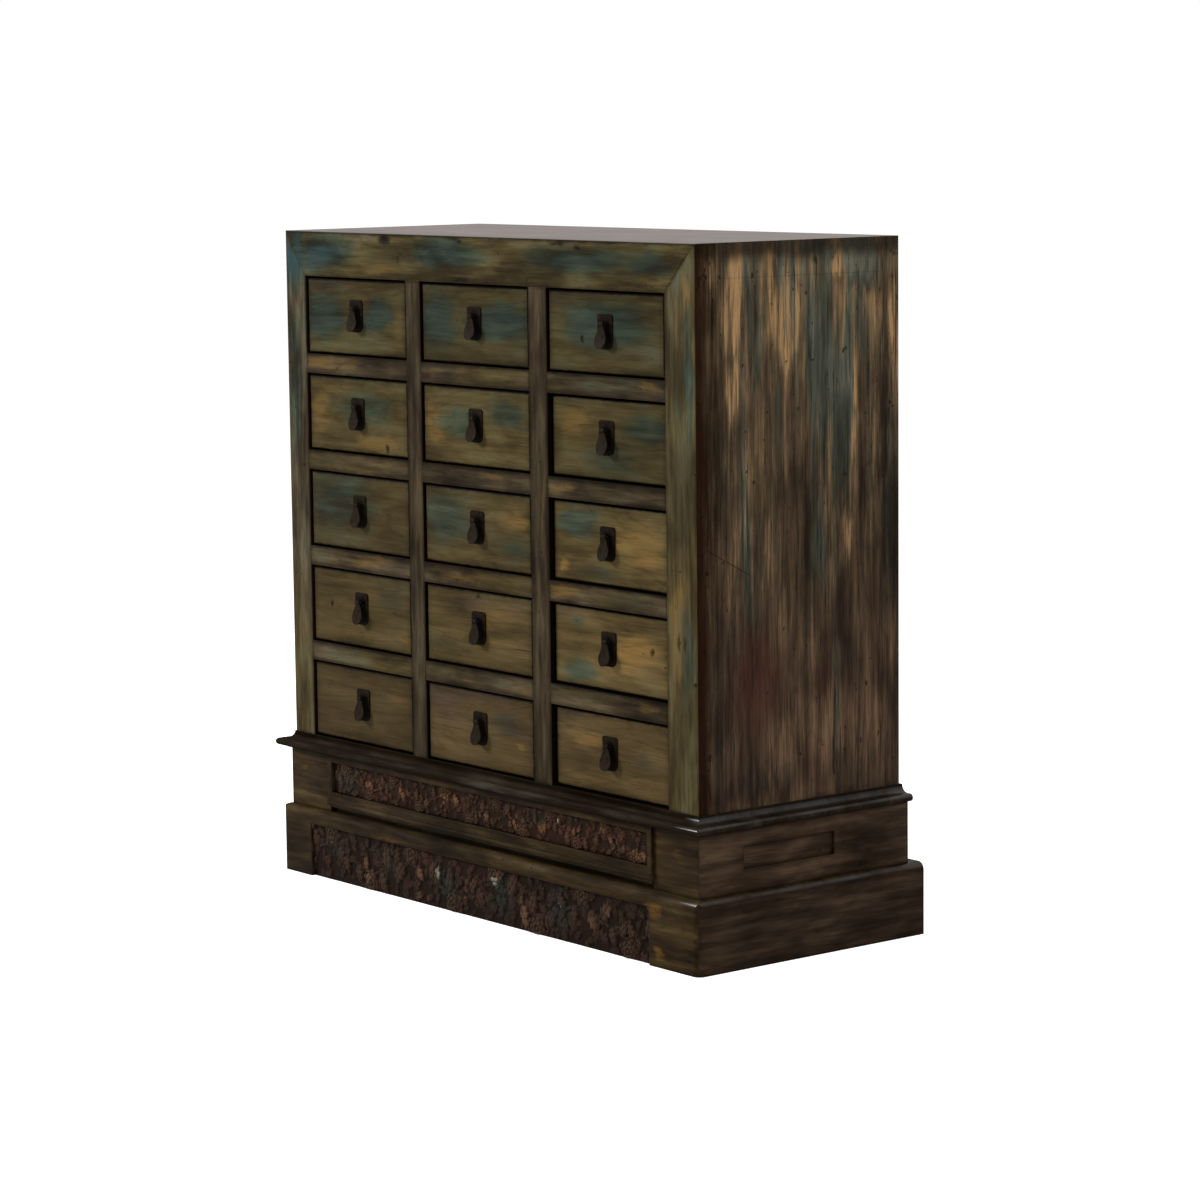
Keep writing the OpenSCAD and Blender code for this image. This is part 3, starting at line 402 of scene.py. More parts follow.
def paintedFace(spot, along, look, seed=0.0, boxes=None, blueShare=0.0, ochreShare=0.0,
                wornShare=0.0, bite=0.0):
    # The shares move the balance between the colours, and bite is how hard light meets dark
    point, high = spot["point"], spot["part"][2]
    grain = woodFigure(point, along, seed)
    ragged = wandering(point, paintReach[along], paintRun[along])
    level = blended([(share, grain[name]) for name, share in paintLevel.items()])
    level = ease(level, 0.33 + bite, 0.67 - bite)
    colour = ramp(level, look["ochre"])
    worn = blended([(1.0, grain["broad"]), (0.6, grain["soft"]), (1.0, wornShare)])
    worn = ease(worn, 0.74, 0.94, 0, 0.9)
    colour = mixed(worn, colour, ramp(level, look["worn"]))
    rust = blended([(0.55, softSpots(ragged, ochrePatches, 1, boxes)), (1.0, grain["soft"]),
                    (0.5, grain["streak"]), (1.0, ochreShare)])
    colour = mixed(ease(rust, 0.86, 1.45, 0, 0.85), colour, look["rust"])
    blue = blended([(0.75, softSpots(ragged, bluePatches, 1, boxes)),
                    (0.9, grain["patch"]), (0.55, grain["streak"]), (0.4, grain["soft"]),
                    (1.0, blueShare)])
    corner = times(ease(spot["part"][0], -0.33, -0.43), ease(high, 0.95, 1.02))
    share = most(ease(high, 0.80, 0.88, 0.15, 0.4), times(corner, 0.85))
    strong = times(ease(blue, 1.3, 1.75), share)
    paint = mixed(strong, ramp(level, look["blue"]), look["teal"])
    colour = mixed(ease(blue, 0.95, 1.5, 0, 0.92), colour, paint)
    dark = calc("MULTIPLY_ADD", ease(grain["line"], 0.52, 0.68), -0.30, 1.0)
    colour = dimmed(colour, times(dark, calc("MULTIPLY_ADD", grain["ring"], -0.14, 1.0)))
    nick = noise(mapped(point, shift=(seed, 0, 0), scale=(75, 75, 120)), detail=3)
    near = wandering(point, (0.02, 0.0, 0.02), (45, 45, 60))
    nick = most(times(grain["crack"], 0.8), ease(nick, 0.70, 0.75, 0, 0.85),
                softSpots(near, darkPatches, 1, boxes))
    colour = mixed(nick, colour, look["grimeAndShade"])
    height = blended([(-0.3, grain["line"]), (-0.18, grain["ring"]), (-0.8, nick),
                      (0.5, grain["soft"])])
    return colour, ease(grain["patch"], 0.3, 0.7, 0.62, 0.46), height


def cornerDirtAndShade(reach, amount, samples=6):  # dirt, and painted shade from the ambient occlusion, where surfaces stand close
    shade = add("AmbientOcclusion", {"Distance": reach}, samples=samples).outputs["AO"]
    return ease(shade, 0.72, 0.30, 0.0, amount)


def nearEdge(radius, start, end):  # 1 near the outer edges, and the softened normal
    soft = add("Bevel", {"Radius": radius}, samples=4).outputs[0]
    true = add("NewGeometry").outputs["Normal"]
    along = add("VectorMath", {0: soft, 1: true}, operation="DOT_PRODUCT").outputs["Value"]
    return ease(along, start, end), soft


def rawWood(spot, along, look, seed=0.0):
    grain = woodFigure(spot["point"], along, seed)
    colour = mixed(ease(grain["patch"], 0.35, 0.65), look["shade"], look["wood"])
    colour = mixed(ease(grain["ring"], 0.1, 0.9, 0, 0.45), colour, look["ring"])
    colour = mixed(ease(grain["streak"], 0.55, 0.75, 0, 0.5), colour, look["dust"])
    colour = mixed(times(grain["crack"], 0.7), colour, look["crack"])
    height = calc("SUBTRACT", times(grain["soft"], 0.5),
                  calc("MULTIPLY_ADD", grain["line"], 0.35, times(grain["crack"], 0.6)))
    return colour, ease(grain["patch"], 0.3, 0.7, 0.85, 0.7), height


oldPine = {
    "wood": tone(120, 92, 60), "shade": tone(92, 69, 45), "ring": tone(76, 54, 34),
    "dust": tone(138, 116, 88), "crack": tone(34, 24, 16),
}
darkWood = {
    "wood": tone(66, 48, 33), "shade": tone(48, 34, 24), "ring": tone(34, 24, 17),
    "dust": tone(82, 66, 50), "crack": tone(20, 14, 10),
}
rawFinish = {"bump": 0.5, "depth": 0.0007, "shine": 0.12}


def overlaid(mask, under, over):  # one finish over another, each (colour, roughness, height)
    rest = (calc("MULTIPLY_ADD", mask, calc("SUBTRACT", over[i], under[i]), under[i])
            for i in (1, 2))
    return mixed(mask, under[0], over[0]), *rest


# Stained sides: streaks of tan, brown and blue-grey down the boards

sideStain = {
    "wood": [(16, 11, 6), (36, 27, 18), (54, 43, 31), (71, 58, 42), (96, 77, 54), (136, 107, 73)],
    "low": [(17, 11, 7), (34, 24, 17), (49, 37, 27), (62, 48, 36), (77, 59, 44), (98, 76, 56)],
    "blue": [(20, 20, 14), (38, 41, 34), (54, 59, 51), (74, 79, 70)],
    "strip": tone(27, 12, 4), "red": tone(52, 27, 20), "dark": tone(14, 8, 4),
    "tan": tone(110, 86, 56),
}
sideFinish = {"bump": 0.8, "depth": 0.0008, "shine": 0.03, "waxRough": 0.3}

# Patches on the sides, with the distance from front to back as the first number

tanPatches = [
    (-30, 954, 30, 66, 1.0), (-133, 979, 18, 68, 0.75), (-133, 854, 16, 52, 0.65),
    (70, 1031, 24, 14, 0.6), (183, 964, 9, 55, 0.5), (103, 859, 12, 40, 0.4),
    (150, 330, 30, 70, 0.5), (93, 629, 9, 62, 0.6),
    (50, 350, 60, 60, 0.6), (185, 460, 12, 60, 0.4), (-120, 640, 16, 60, 0.4),
    (-60, 620, 14, 70, 0.4), (100, 720, 12, 90, 0.5), (192, 880, 9, 80, 0.4), (-40, 330, 30, 40, 0.4),
    (20, 460, 20, 60, 0.4), (-175, 1010, 10, 40, 0.6),
]
bluePanes = [
    (-82, 899, 16, 100, 0.5), (20, 914, 13, 88, 0.7), (72, 819, 34, 150, 0.65),
    (125, 1036, 38, 40, 0.95), (45, 1060, 45, 12, 0.7), (38, 604, 20, 78, 0.45),
]
darkPanes = [
    (165, 769, 10, 260, 0.9), (72, 519, 18, 48, 0.6), (10, 620, 9, 80, 0.5),
    (-174, 1000, 16, 66, 0.7), (-150, 1015, 14, 34, 0.4), (112, 715, 26, 80, 0.6),
    (140, 850, 30, 60, 0.45), (130, 1004, 60, 20, 0.4), (186, 620, 16, 130, 0.6),
    (-110, 262, 110, 26, 0.5), (-2, 322, 20, 50, 0.4), (140, 300, 16, 40, 0.3),
]
redPanes = [(-90, 425, 52, 85, 0.8)]
longScratch = ((-0.190, 0.629), (-0.095, 0.579))  # its ends, in y and z
sideBoxes = {  # the places whose patches a piece can show: y and z ranges in millimetres
    "front_posts": [(-260, -130, 0, 1100)], "rear_frame": [(130, 260, 0, 1100)],
    "side_top_rails": [(-260, 260, 920, 1100)],
}


def scratch(spot, start, end, width=0.0011):  # a line scratched from start to end
    run, rise = end[0] - start[0], end[1] - start[1]
    length = math.hypot(run, rise)
    deep = calc("SUBTRACT", spot["part"][1], start[0])
    high = calc("SUBTRACT", spot["part"][2], start[1])
    along = blended([(run / length ** 2, deep), (rise / length ** 2, high)])
    aside = calc("ABSOLUTE", blended([(rise / length, deep), (-run / length, high)]))
    ends = times(ease(along, -0.02, 0.1), ease(along, 1.0, 0.8))
    return times(ease(aside, width, width * 0.3, 0, 0.8), ends)


def stainedSide(spot, look, boxes=None):
    point, deep, high = spot["point"], spot["part"][1], spot["part"][2]
    grain = woodFigure(point, 2)
    ragged = wandering(point, (0.0, 0.03, 0.12), (60, 60, 9))

    def upright(much, little, rough=0.55, shift=(0, 0, 0)):  # noise drawn out up and down
        return noise(mapped(point, shift, (much, much, little)), rough=rough)

    wide, slim, fine, blotch = (upright(much, little, 0.6)
                                for much, little in ((24, 1.9), (80, 3.6), (250, 10), (26, 11)))
    broken = ease(blended([(0.5, slim), (0.5, fine)]), 0.38, 0.56, 0.4, 1.0)
    level = ease(blended([
        (0.29, wide), (0.30, slim), (0.20, fine), (0.29, blotch),
        (0.25, times(softSpots(ragged, tanPatches, 0, boxes), broken)),
        (-0.16, softSpots(ragged, darkPanes, 0, boxes)),
        (1.0, ease(high, 0.72, 1.0, 0.005, 0.065)),  # lighter towards the top
        (1.0, ease(high, 0.30, 0.22, 0.0, 0.02)),
        (1.0, ease(high, 1.0, 1.03, 0.0, 0.035)),
        (1.0, ease(deep, -0.135, -0.17, 0.0, -0.055)),  # darker at the front and the back
        (1.0, ease(deep, 0.165, 0.19, 0.0, -0.05)),
    ]), 0.33, 0.76)
    colour = mixed(ease(high, 0.64, 0.40), ramp(level, look["wood"]), ramp(level, look["low"]))
    blue = blended([(1.0, upright(38, 2.6, 0.6, (0.3, 0.7, 0.2))),
                    (0.35, softSpots(ragged, bluePanes, 0, boxes)),
                    (1.0, ease(high, 0.35, 0.95, -0.07, 0.04)),
                    (1.0, ease(high, 0.99, 1.04, 0.0, 0.05)), (-0.3, slim)])
    colour = mixed(ease(blue, 0.38, 0.56, 0, 0.85), colour, ramp(level, look["blue"]))
    red = calc("ADD", softSpots(ragged, redPanes, 0, boxes), ease(grain["broad"], 0.5, 0.7, 0, 0.4))
    colour = mixed(times(red, ease(high, 0.75, 0.5, 0, 0.8)), colour, look["red"])
    strip = ease(calc("MULTIPLY_ADD", grain["streak"], 0.03, deep), -0.160, -0.182)
    colour = mixed(times(strip, 0.92), colour, look["strip"])
    lines = calc("MULTIPLY_ADD", ease(grain["line"], 0.5, 0.66), -0.3, 1.0)
    colour = dimmed(colour, times(lines, ease(grain["ring"], 0, 1, 1, 0.85)))
    # Drips, dirty bands at the ends, nicks, cracks and one long scratch
    drip = times(ease(upright(150, 5), 0.56, 0.66), ease(grain["patch"], 0.42, 0.56))
    stroke = times(ease(upright(340, 13), 0.57, 0.66), ease(blotch, 0.40, 0.58))
    worn = calc("MULTIPLY_ADD", grain["patch"], 0.06, high)
    nick = blended([(0.04, ease(high, 0.98, 1.04)), (1.0, upright(90, 70)),
                    (0.06, ease(calc("ABSOLUTE", deep), 0.165, 0.198))])
    dark = most(times(most(drip, stroke), 0.62), ease(worn, 1.064, 1.090, 0, 0.8),
                ease(worn, 0.272, 0.258, 0, 0.7), times(ease(nick, 0.67, 0.72), 0.8),
                times(grain["crack"], 0.85), scratch(spot, *longScratch))
    colour = mixed(dark, colour, look["dark"])
    height = blended([(-0.4, grain["line"]), (0.7, grain["soft"]), (-0.8, dark)])
    return colour, ease(grain["soft"], 0.3, 0.7, 0.62, 0.44), height


# Rubbed and waxed top boards

topStain = {
    "wood": tone(70, 48, 36), "shade": tone(52, 36, 28), "ring": tone(36, 24, 18),
    "dust": tone(88, 66, 52), "crack": tone(22, 14, 10),
}


arris = {"wood": 0.0022, "iron": 0.0008}  # how far edges look rounded


def finishWood(finish, made, dirtAndShade=0.8, reach=0.014, rub=0.5, bare=None, wax=0.0, grimeAndShade=0.0,
               grimeAndShadeWidth=0.009):
    # Dirt and painted shade in a band along the edges, bare wood at the edges, dirt and painted shade
    # in the corners, and wax
    colour, rough, height = made
    edge, soft = nearEdge(arris["wood"], 0.985, 0.86)
    # a dark band along the outer edges: dirt and painted shade
    if grimeAndShade:
        uneven = cloud(add("TexCoord").outputs["Object"], 38, 4)
        edgeGrimeAndShade = times(nearEdge(grimeAndShadeWidth, 0.992, 0.80)[0], ease(uneven, 0.3, 0.6, 0.35, 1))
        colour = mixed(times(edgeGrimeAndShade, grimeAndShade), colour, facePaint["grimeAndShade"])
    if bare:
        colour = mixed(times(edge, rub), colour, bare)
    colour = mixed(cornerDirtAndShade(reach, dirtAndShade), colour, facePaint["grimeAndShade"])
    return finishMaterial(colour, rough, height, finish, coat=wax, normal=soft)


def upwards(spot):  # 1 on faces that look up
    return ease(spot["face"][2], 0.6, 0.9)


def outwards(spot):  # 1 on faces that look to the left or right
    return ease(calc("ABSOLUTE", spot["face"][0]), 0.55, 0.8)


def forwards(spot):  # 1 on faces that look to the front
    return ease(spot["face"][1], -0.25, -0.6)


frontPlane = -0.205  # y of the face frame's front
frontTall = 0.1245  # height of a drawer's front


def grimyShadedReveal(spot, made, face=frontPlane, start=0.018, end=0.045):
    # Painted shade, with dirt, on the edges just behind the face, fading to the wood further back
    near = ease(spot["part"][1], face + start, face + end)
    return mixed(near, facePaint["grimeAndShade"], made[0]), made[1], made[2]


def dirtiedAndShaded(spot, made, amount=0.9):  # dark dirt and painted shade on the face round the drawer openings, and dark nicks along the top edge
    ends = [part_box(f"drawer_row1_{column}") for column in columns]
    feet = [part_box(f"drawer_row{row}_left")[0].z for row in rows]
    inside = []
    for axis, spans in ((0, [(low.x, high.x) for low, high in ends]),
                        (2, [(foot, foot + frontTall) for foot in feet])):
        inside.append(most(*(within(spot["part"][axis], *span) for span in spans)))
    uneven = cloud(spot["point"], 55, 4)
    edge = calc("MULTIPLY_ADD", uneven, 0.005, spot["part"][2])
    away = blended([(-1.0, calc("MINIMUM", *inside)), (-0.005, uneven)])
    dirtAndShade = most(ease(away, 0.002, -0.002, 0, amount), ease(away, 0.010, -0.002, 0, 0.35),
                ease(edge, 1.069, 1.0735, 0, 0.8))
    dirtAndShade = times(dirtAndShade, forwards(spot))
    return mixed(dirtAndShade, made[0], facePaint["grimeAndShade"]), made[1], made[2]


railHeights = [857, 698, 539, 380]  # millimetres
railPaint = {"blueShare": 0.05, "ochreShare": 0.08, "wornShare": 0.16, "bite": 0.03}
framePaint = {  # boxes are the places whose patches a piece can show: x and z ranges in millimetres
    "front_posts": {"seed": 1, "blueShare": 0.14, "bite": 0.045,
                    "boxes": [(-525, -480, 0, 1072), (470, 525, 0, 1072)]},
    "front_top_rail": {"seed": 2, "blueShare": 0.14, "wornShare": -0.1, "bite": 0.06,
                       "boxes": [(-470, 470, 1002, 1072)]},
    "column_uprights": {**railPaint, "seed": 4, "boxes": []},
    "row_rails": {**railPaint, "seed": 5,
                  "boxes": [(-470, 470, high - 2, high + 2) for high in railHeights]},
}
frameLook = {
    "postLight": 1.1, "uprightLight": 0.83,
    "railLight": (0.96, 0.84),  # of the lower rails and of the top one
    "postTint": (0.99, 1.0, 1.1),  # the posts are a little bluer
    "palePosts": [(505, 900, 50, 140, 0.5), (-502, 690, 50, 110, 0.34), (-502, 970, 50, 90, 0.26)],
    "topWax": 0.5,
}
frameEdges = {"bare": facePaint["bare"], "rub": 0.35, "grimeAndShade": 0.75}
railEdges = {**frameEdges, "grimeAndShade": 0.85, "grimeAndShadeWidth": 0.011}


def makeFaceFrame():
    spot = startMaterial("post paint")
    front = paintedFace(spot, 2, facePaint, **framePaint["front_posts"])
    light = calc("ADD", frameLook["postLight"], softSpots(spot["point"], frameLook["palePosts"], 1))
    front = lit((tinted(front[0], frameLook["postTint"]), *front[1:]), light)
    inside = grimyShadedReveal(spot, rawWood(spot, 2, darkWood, seed=2))
    both = overlaid(forwards(spot), inside, dirtiedAndShaded(spot, front))
    side = stainedSide(spot, sideStain, sideBoxes["front_posts"])
    both = overlaid(outwards(spot), both, side)
    wear("front_posts", finishWood(paintFinish, both, **frameEdges))

    spot = startMaterial("top rail paint")
    front = dirtiedAndShaded(spot, paintedFace(spot, 0, facePaint, **framePaint["front_top_rail"]))
    both = overlaid(forwards(spot), rawWood(spot, 0, topStain, seed=3), front)
    wear("front_top_rail", finishWood(paintFinish, both, **frameEdges,
                                      wax=times(upwards(spot), frameLook["topWax"])))

    for name, along in (("column_uprights", 2), ("row_rails", 0)):
        spot = startMaterial(name + " paint")
        front = paintedFace(spot, along, facePaint, **framePaint[name])
        light = frameLook["uprightLight"]
        if name == "row_rails":
            light = ease(spot["part"][2], 0.72, 0.80, *frameLook["railLight"])
        front = dirtiedAndShaded(spot, lit(front, light))
        inside = rawWood(spot, along, darkWood, seed=framePaint[name]["seed"])
        both = overlaid(forwards(spot), grimyShadedReveal(spot, inside), front)
        wear(name, finishWood(paintFinish, both, **railEdges))
    print("face frame painted")


caseLook = {
    "backBoards": 6,
    "backTongue": 0.00785,  # how far the outer back boards reach into the posts
    "topWax": 0.52,
}


def makeCase():
    for name in ("side_panels", "side_top_rails", "rear_frame"):
        spot = startMaterial(name + " stain")
        side = stainedSide(spot, sideStain, boxes=sideBoxes.get(name))
        inside = rawWood(spot, 2, darkWood, seed=6)
        both = overlaid(outwards(spot), inside, side)
        both = overlaid(upwards(spot), both, rawWood(spot, 0, topStain, seed=7))
        wear(name, finishWood(sideFinish, both, bare=sideStain["tan"], rub=0.1,
                              reach=0.006, dirtAndShade=0.4,
                              wax=times(upwards(spot), caseLook["topWax"])))
    spot = startMaterial("top board wax")
    wear("top_panel", finishWood(sideFinish, rawWood(spot, 0, topStain, seed=8), reach=0.006, dirtAndShade=0.6,
                                 wax=times(upwards(spot), caseLook["topWax"])))
    for name, along, look in (("back_panel", 2, darkWood), ("bottom_panel", 0, oldPine),
                              ("drawer_guides", 1, oldPine)):
        spot = startMaterial(name + " wood")
        made = rawWood(spot, along, look, seed=9)
        if name == "back_panel":
            low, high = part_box(name)
            start = low.x + caseLook["backTongue"]
            width = (high.x - caseLook["backTongue"] - start) / caseLook["backBoards"]
            across = calc("SUBTRACT", spot["part"][0], start)
            seam = calc("PINGPONG", across, width / 2)
            made = (mixed(ease(seam, 0.0022, 0.0006, 0, 0.85), made[0], look["crack"]), *made[1:])
        wear(name, finishWood(rawFinish, made, reach=0.02, dirtAndShade=0.7))
    print("case stained")


drawerPaint = {  # by row, from the top down
    "blueShare": (0.16, 0.07, 0.10, -0.01, -0.02),
    "bite": (0.0, 0.0, -0.01, -0.055, -0.15),
    "brown": (0.0, 0.0, 0.3, 0.5, 1.0),
    # how light each drawer's front is made; the right column's lift is painted light that offsets the
    # shade of its deeper set
    "light": ((0.88, 0.8, 0.88), (0.9, 1.0, 0.85), (0.85, 0.94, 1.38),  # left, middle, right
              (0.78, 0.97, 1.42), (0.75, 1.05, 1.14)),
    "wornShare": -0.14,
    "browner": (0.02, -0.05, 0.08),  # what full brown adds to red, green and blue
    "margin": 12,  # how far round its front a drawer still shows a patch, in millimetres
}


def rimDirtAndShade(spot, low, high):  # painted shade round the gap, with dirt and the wear of hands, at the edges of a front
    gap = calc("MINIMUM", within(spot["part"][0], low.x, high.x),
               within(spot["part"][2], low.z, low.z + frontTall))
    gap = calc("MULTIPLY_ADD", cloud(spot["point"], 55), -0.005, gap)
    return most(ease(gap, 0.016, -0.002, 0, 0.35), ease(gap, 0.0045, -0.0005, 0, 0.96))


def makeDrawers():
    for index, row in enumerate(rows):
        for place, column in enumerate(columns):
            name = f"drawer_row{row}_{column}"
            low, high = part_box(name)
            edge = drawerPaint["margin"]
            box = (low.x * 1000 - edge, high.x * 1000 + edge, low.z * 1000 - edge, high.z * 1000 + edge)
            seed = 11 + index * 3.7 + place * 1.9
            spot = startMaterial(name + " paint")
            front = paintedFace(spot, 0, facePaint, seed=seed, boxes=[box],
                                blueShare=drawerPaint["blueShare"][index],
                                wornShare=drawerPaint["wornShare"], bite=drawerPaint["bite"][index])
            facing = times(forwards(spot), ease(spot["part"][1], low.y + 0.012, low.y + 0.010))
            inside = grimyShadedReveal(spot, rawWood(spot, 1, oldPine, seed=seed), low.y, 0.005, 0.015)
            colour, rough, height = overlaid(facing, inside, front)
            # painted light in the right column, with tone by drawer
            light, brown = drawerPaint["light"][index][place], drawerPaint["brown"][index]
            tint = tuple(light * (1 + brown * change) for change in drawerPaint["browner"])
            colour = mixed(facing, colour, tinted(colour, tint))
            # painted shade, with dirt, round the edges of the front
            rim = times(rimDirtAndShade(spot, low, high), facing)
            made = (mixed(rim, colour, facePaint["grimeAndShade"]), rough, height)
            wear(name, finishWood(paintFinish, made, reach=0.010, dirtAndShade=0.75))
    print("drawers painted")


# Stand

standPaint = {
    "ochre": [(10, 7, 2), (25, 18, 8), (38, 28, 14), (51, 40, 21), (72, 57, 32)],
    "worn": [(8, 5, 2), (21, 14, 7), (31, 22, 13), (42, 32, 20), (60, 47, 31)],
    "blue": [(12, 11, 6), (24, 24, 16), (33, 34, 25), (46, 47, 36)],
    "teal": tone(34, 40, 34), "rust": tone(84, 60, 27), "bare": tone(66, 52, 34),
    "grimeAndShade": tone(5, 3, 1),
}
standStain = {
    "ochre": [(12, 7, 4), (31, 22, 14), (45, 34, 25), (62, 48, 36), (86, 69, 52)],
    "worn": [(10, 6, 3), (26, 17, 11), (38, 27, 19), (51, 38, 28), (68, 52, 39)],
    "blue": [(8, 7, 5), (20, 17, 13), (30, 26, 21), (42, 38, 31)],
    "teal": tone(30, 30, 26), "rust": tone(60, 32, 20), "grimeAndShade": tone(5, 3, 1),
}
ledgeStain = {
    "ochre": [(4, 2, 1), (13, 9, 5), (22, 16, 10), (32, 25, 17), (50, 42, 32)],
    "worn": [(3, 2, 1), (10, 6, 3), (16, 11, 6), (24, 17, 11), (34, 27, 19)],
    "blue": [(8, 8, 6), (17, 17, 13), (26, 26, 21), (38, 38, 31)],
    "teal": tone(26, 28, 24), "rust": tone(50, 34, 20), "bare": tone(70, 64, 54),
    "grimeAndShade": tone(4, 2, 1),
}
standFinish = {"bump": 0.6, "depth": 0.0008, "shine": 0.015, "waxRough": 0.3}
ledgeFinish = {**standFinish, "shine": 0.0}
standLight = {"waist": (1.2, 1.05), "plinth": (1.06, 0.75)}  # of the front and of the sides
ledgeLook = {"nose": (2.2, 2.45, 2.9), "upper": 0.93}  # painted sheen: the rounded nose is painted paler and bluer; painted shade: the band above it is painted darker


def mouldWax(spot, start, end):  # wax on upper faces at the right corner, most on the side
    corner = ease(spot["part"][0], 0.49, 0.55, 0.0, 0.35)
    side = ease(calc("ABSOLUTE", spot["face"][0]), 0.15, 0.5, 0.0, 0.6)
    rub = ease(cloud(spot["point"], 14), 0.3, 0.6, 0.3, 1.0)
    upper = times(ease(spot["face"][2], start, end), rub)
    return times(upper, most(corner, side))


def makeStand():
    for name, lights in standLight.items():
        spot = startMaterial(name + " paint")
        front = paintedFace(spot, 0, standPaint, seed=31, boxes=[(-560, 560, 0, 205)],
                            blueShare=-0.02)
        side = paintedFace(spot, 1, standStain, seed=32, boxes=[], blueShare=-0.04)
        both = overlaid(outwards(spot), lit(front, lights[0]), lit(side, lights[1]))
        wear(name, finishWood(standFinish, both, bare=standPaint["bare"], rub=0.6,
                              reach=0.012, dirtAndShade=0.85, grimeAndShade=0.7, wax=mouldWax(spot, 0.25, 0.6)))
    spot = startMaterial("ledge stain")
    made = paintedFace(spot, 0, ledgeStain, seed=33, boxes=[], blueShare=0.02, bite=-0.07)
    # painted sheen on the rounded nose, painted shade on the band above it
    nose = tinted(made[0], ledgeLook["nose"])
    upper = dimmed(made[0], ledgeLook["upper"])
    made = (mixed(ease(spot["part"][2], 0.225, 0.231), nose, upper), *made[1:])
    wear("ledge_frame", finishWood(ledgeFinish, made, bare=ledgeStain["bare"], rub=0.25,
                                   dirtAndShade=0.85, wax=mouldWax(spot, 0.1, 0.5)))
    print("stand painted")


# Iron pulls

ironLook = {
    "dark": tone(15, 11, 7), "mid": tone(29, 23, 16), "worn": tone(45, 37, 27),
    "rust": tone(34, 21, 13), "shadowBlack": tone(8, 5, 3),
}
ironFinish = {"bump": 0.5, "depth": 0.0004, "shine": 0.008}


def makeIron():
    for kind, lift in (("plate", 0.0), ("pull", 0.10)):
        spot = startMaterial(kind + " iron")
        hammered, pitted, stained = (cloud(spot["point"], fineness, detail)
                                     for fineness, detail in ((150, 2), (620, 3), (55, 4)))
        edge, soft = nearEdge(arris["iron"], 0.985, 0.86)
        worked = ease(hammered, 0.38 - lift, 0.68 - lift)
        colour = mixed(worked, ironLook["dark"], ironLook["mid"])
        colour = mixed(ease(stained, 0.54, 0.66, 0, 0.7), colour, ironLook["rust"])
        colour = mixed(times(edge, 0.5), colour, ironLook["worn"])
        # painted shadow: the plate goes near-black where the pendant stands close to it
        near = add("AmbientOcclusion", {"Distance": 0.03}, samples=8).outputs["AO"]
        colour = mixed(ease(near, 0.96, 0.66, 0, 0.95), colour, ironLook["shadowBlack"])
        height = calc("MULTIPLY_ADD", pitted, 0.4, hammered)
        material = finishMaterial(colour, ease(pitted, 0.3, 0.7, 0.62, 0.42), height,
                                  ironFinish, normal=soft)
        for row in rows:
            for column in columns:
                wear(f"{kind}_row{row}_{column}", material)
    print("iron forged")


makeFaceFrame()
makeCase()
makeDrawers()
makeStand()
makeIron()


# Carved frieze and apron: vine, leaves and blossoms as one height field per board, in millimetres

frieze = {
    "name": "carved_frieze", "step": 0.78, "rise": 5.2, "ground": 5.0, "seed": 21,
    "tint": (1.02, 1.04, 1.0),
    "bays": 12, "swing": 9.0, "stemRadius": 2.0, "blossom": 13.5, "petals": (6, 8),
    "leafLength": (16, 25), "leafWidth": 0.30, "filling": 420, "fillLength": (11, 19),
}
apron = {
    "name": "carved_apron", "step": 1.03, "rise": 6.2, "ground": 5.0, "seed": 34,
    "tint": (0.72, 0.78, 0.80),
    "bays": 8, "swing": 15.0, "stemRadius": 2.8, "blossom": 21.0, "petals": (5, 8),
    "leafLength": (30, 48), "leafWidth": 0.27, "filling": 360, "fillLength": (18, 34), "corner": 16,
}


toolMarks = {"ground": 0.16, "all": 0.05}  # roughness in millimetres


def windowOf(field, middle, reach):  # the part of the field near a point, with its coordinates
    step = field["step"]
    tall, wide = field["height"].shape
    left, right = (int((middle[0] + side * reach) / step) for side in (-1, 1))
    down, up = (int((middle[1] + side * reach) / step) for side in (-1, 1))
    place = (slice(max(down, 0), max(min(up + 2, tall), 0)),
             slice(max(left, 0), max(min(right + 2, wide), 0)))
    up, across = np.mgrid[place]
    return place, across * step - middle[0], up * step - middle[1]


def carve(field, place, form, outside):  # puts a form on the ground, with a groove cut round it
    part = field["height"][place]
    part *= np.clip(0.25 + outside / 1.8, 0.25, 1)
    part[outside < 0] = form[outside < 0]


def carveStem(field, points, radius, rise):
    for middle in points:
        place, across, up = windowOf(field, middle, radius)
        part = field["height"][place]
        form = rise * np.sqrt(np.clip(1 - (across ** 2 + up ** 2) / radius ** 2, 0, 1))
        np.maximum(part, form, out=part)


def carveLeaf(field, base, turn, length, wide, rise, curl, lobes):
    place, across, up = windowOf(field, base, length * 1.15)
    along = across * math.cos(turn) + up * math.sin(turn)
    aside = up * math.cos(turn) - across * math.sin(turn)
    share = np.clip(along / length, 0, 1)
    aside = aside - curl * length * share ** 2
    wavy = 1 + 0.2 * np.cos(2 * math.pi * lobes * share)
    half = wide * np.sin(math.pi * share ** 0.7) ** 0.8 * wavy
    outside = np.maximum(np.abs(aside) - half, np.maximum(-along, along - length))
    crown = np.sqrt(np.clip(1 - (aside / np.maximum(half, 0.4)) ** 2, 0, 1))
    form = rise * (0.3 + 0.7 * crown) * (0.5 + 0.5 * np.sin(math.pi * share ** 0.9))
    form -= 0.3 * rise * np.exp(-(aside / (0.12 * wide + 0.3)) ** 2)
    veins = np.cos(2 * math.pi * (lobes * share - 0.8 * np.abs(aside) / wide))
    form -= 0.16 * rise * np.clip(veins, 0, 1) ** 2
    carve(field, place, np.maximum(form, 0.3), outside)


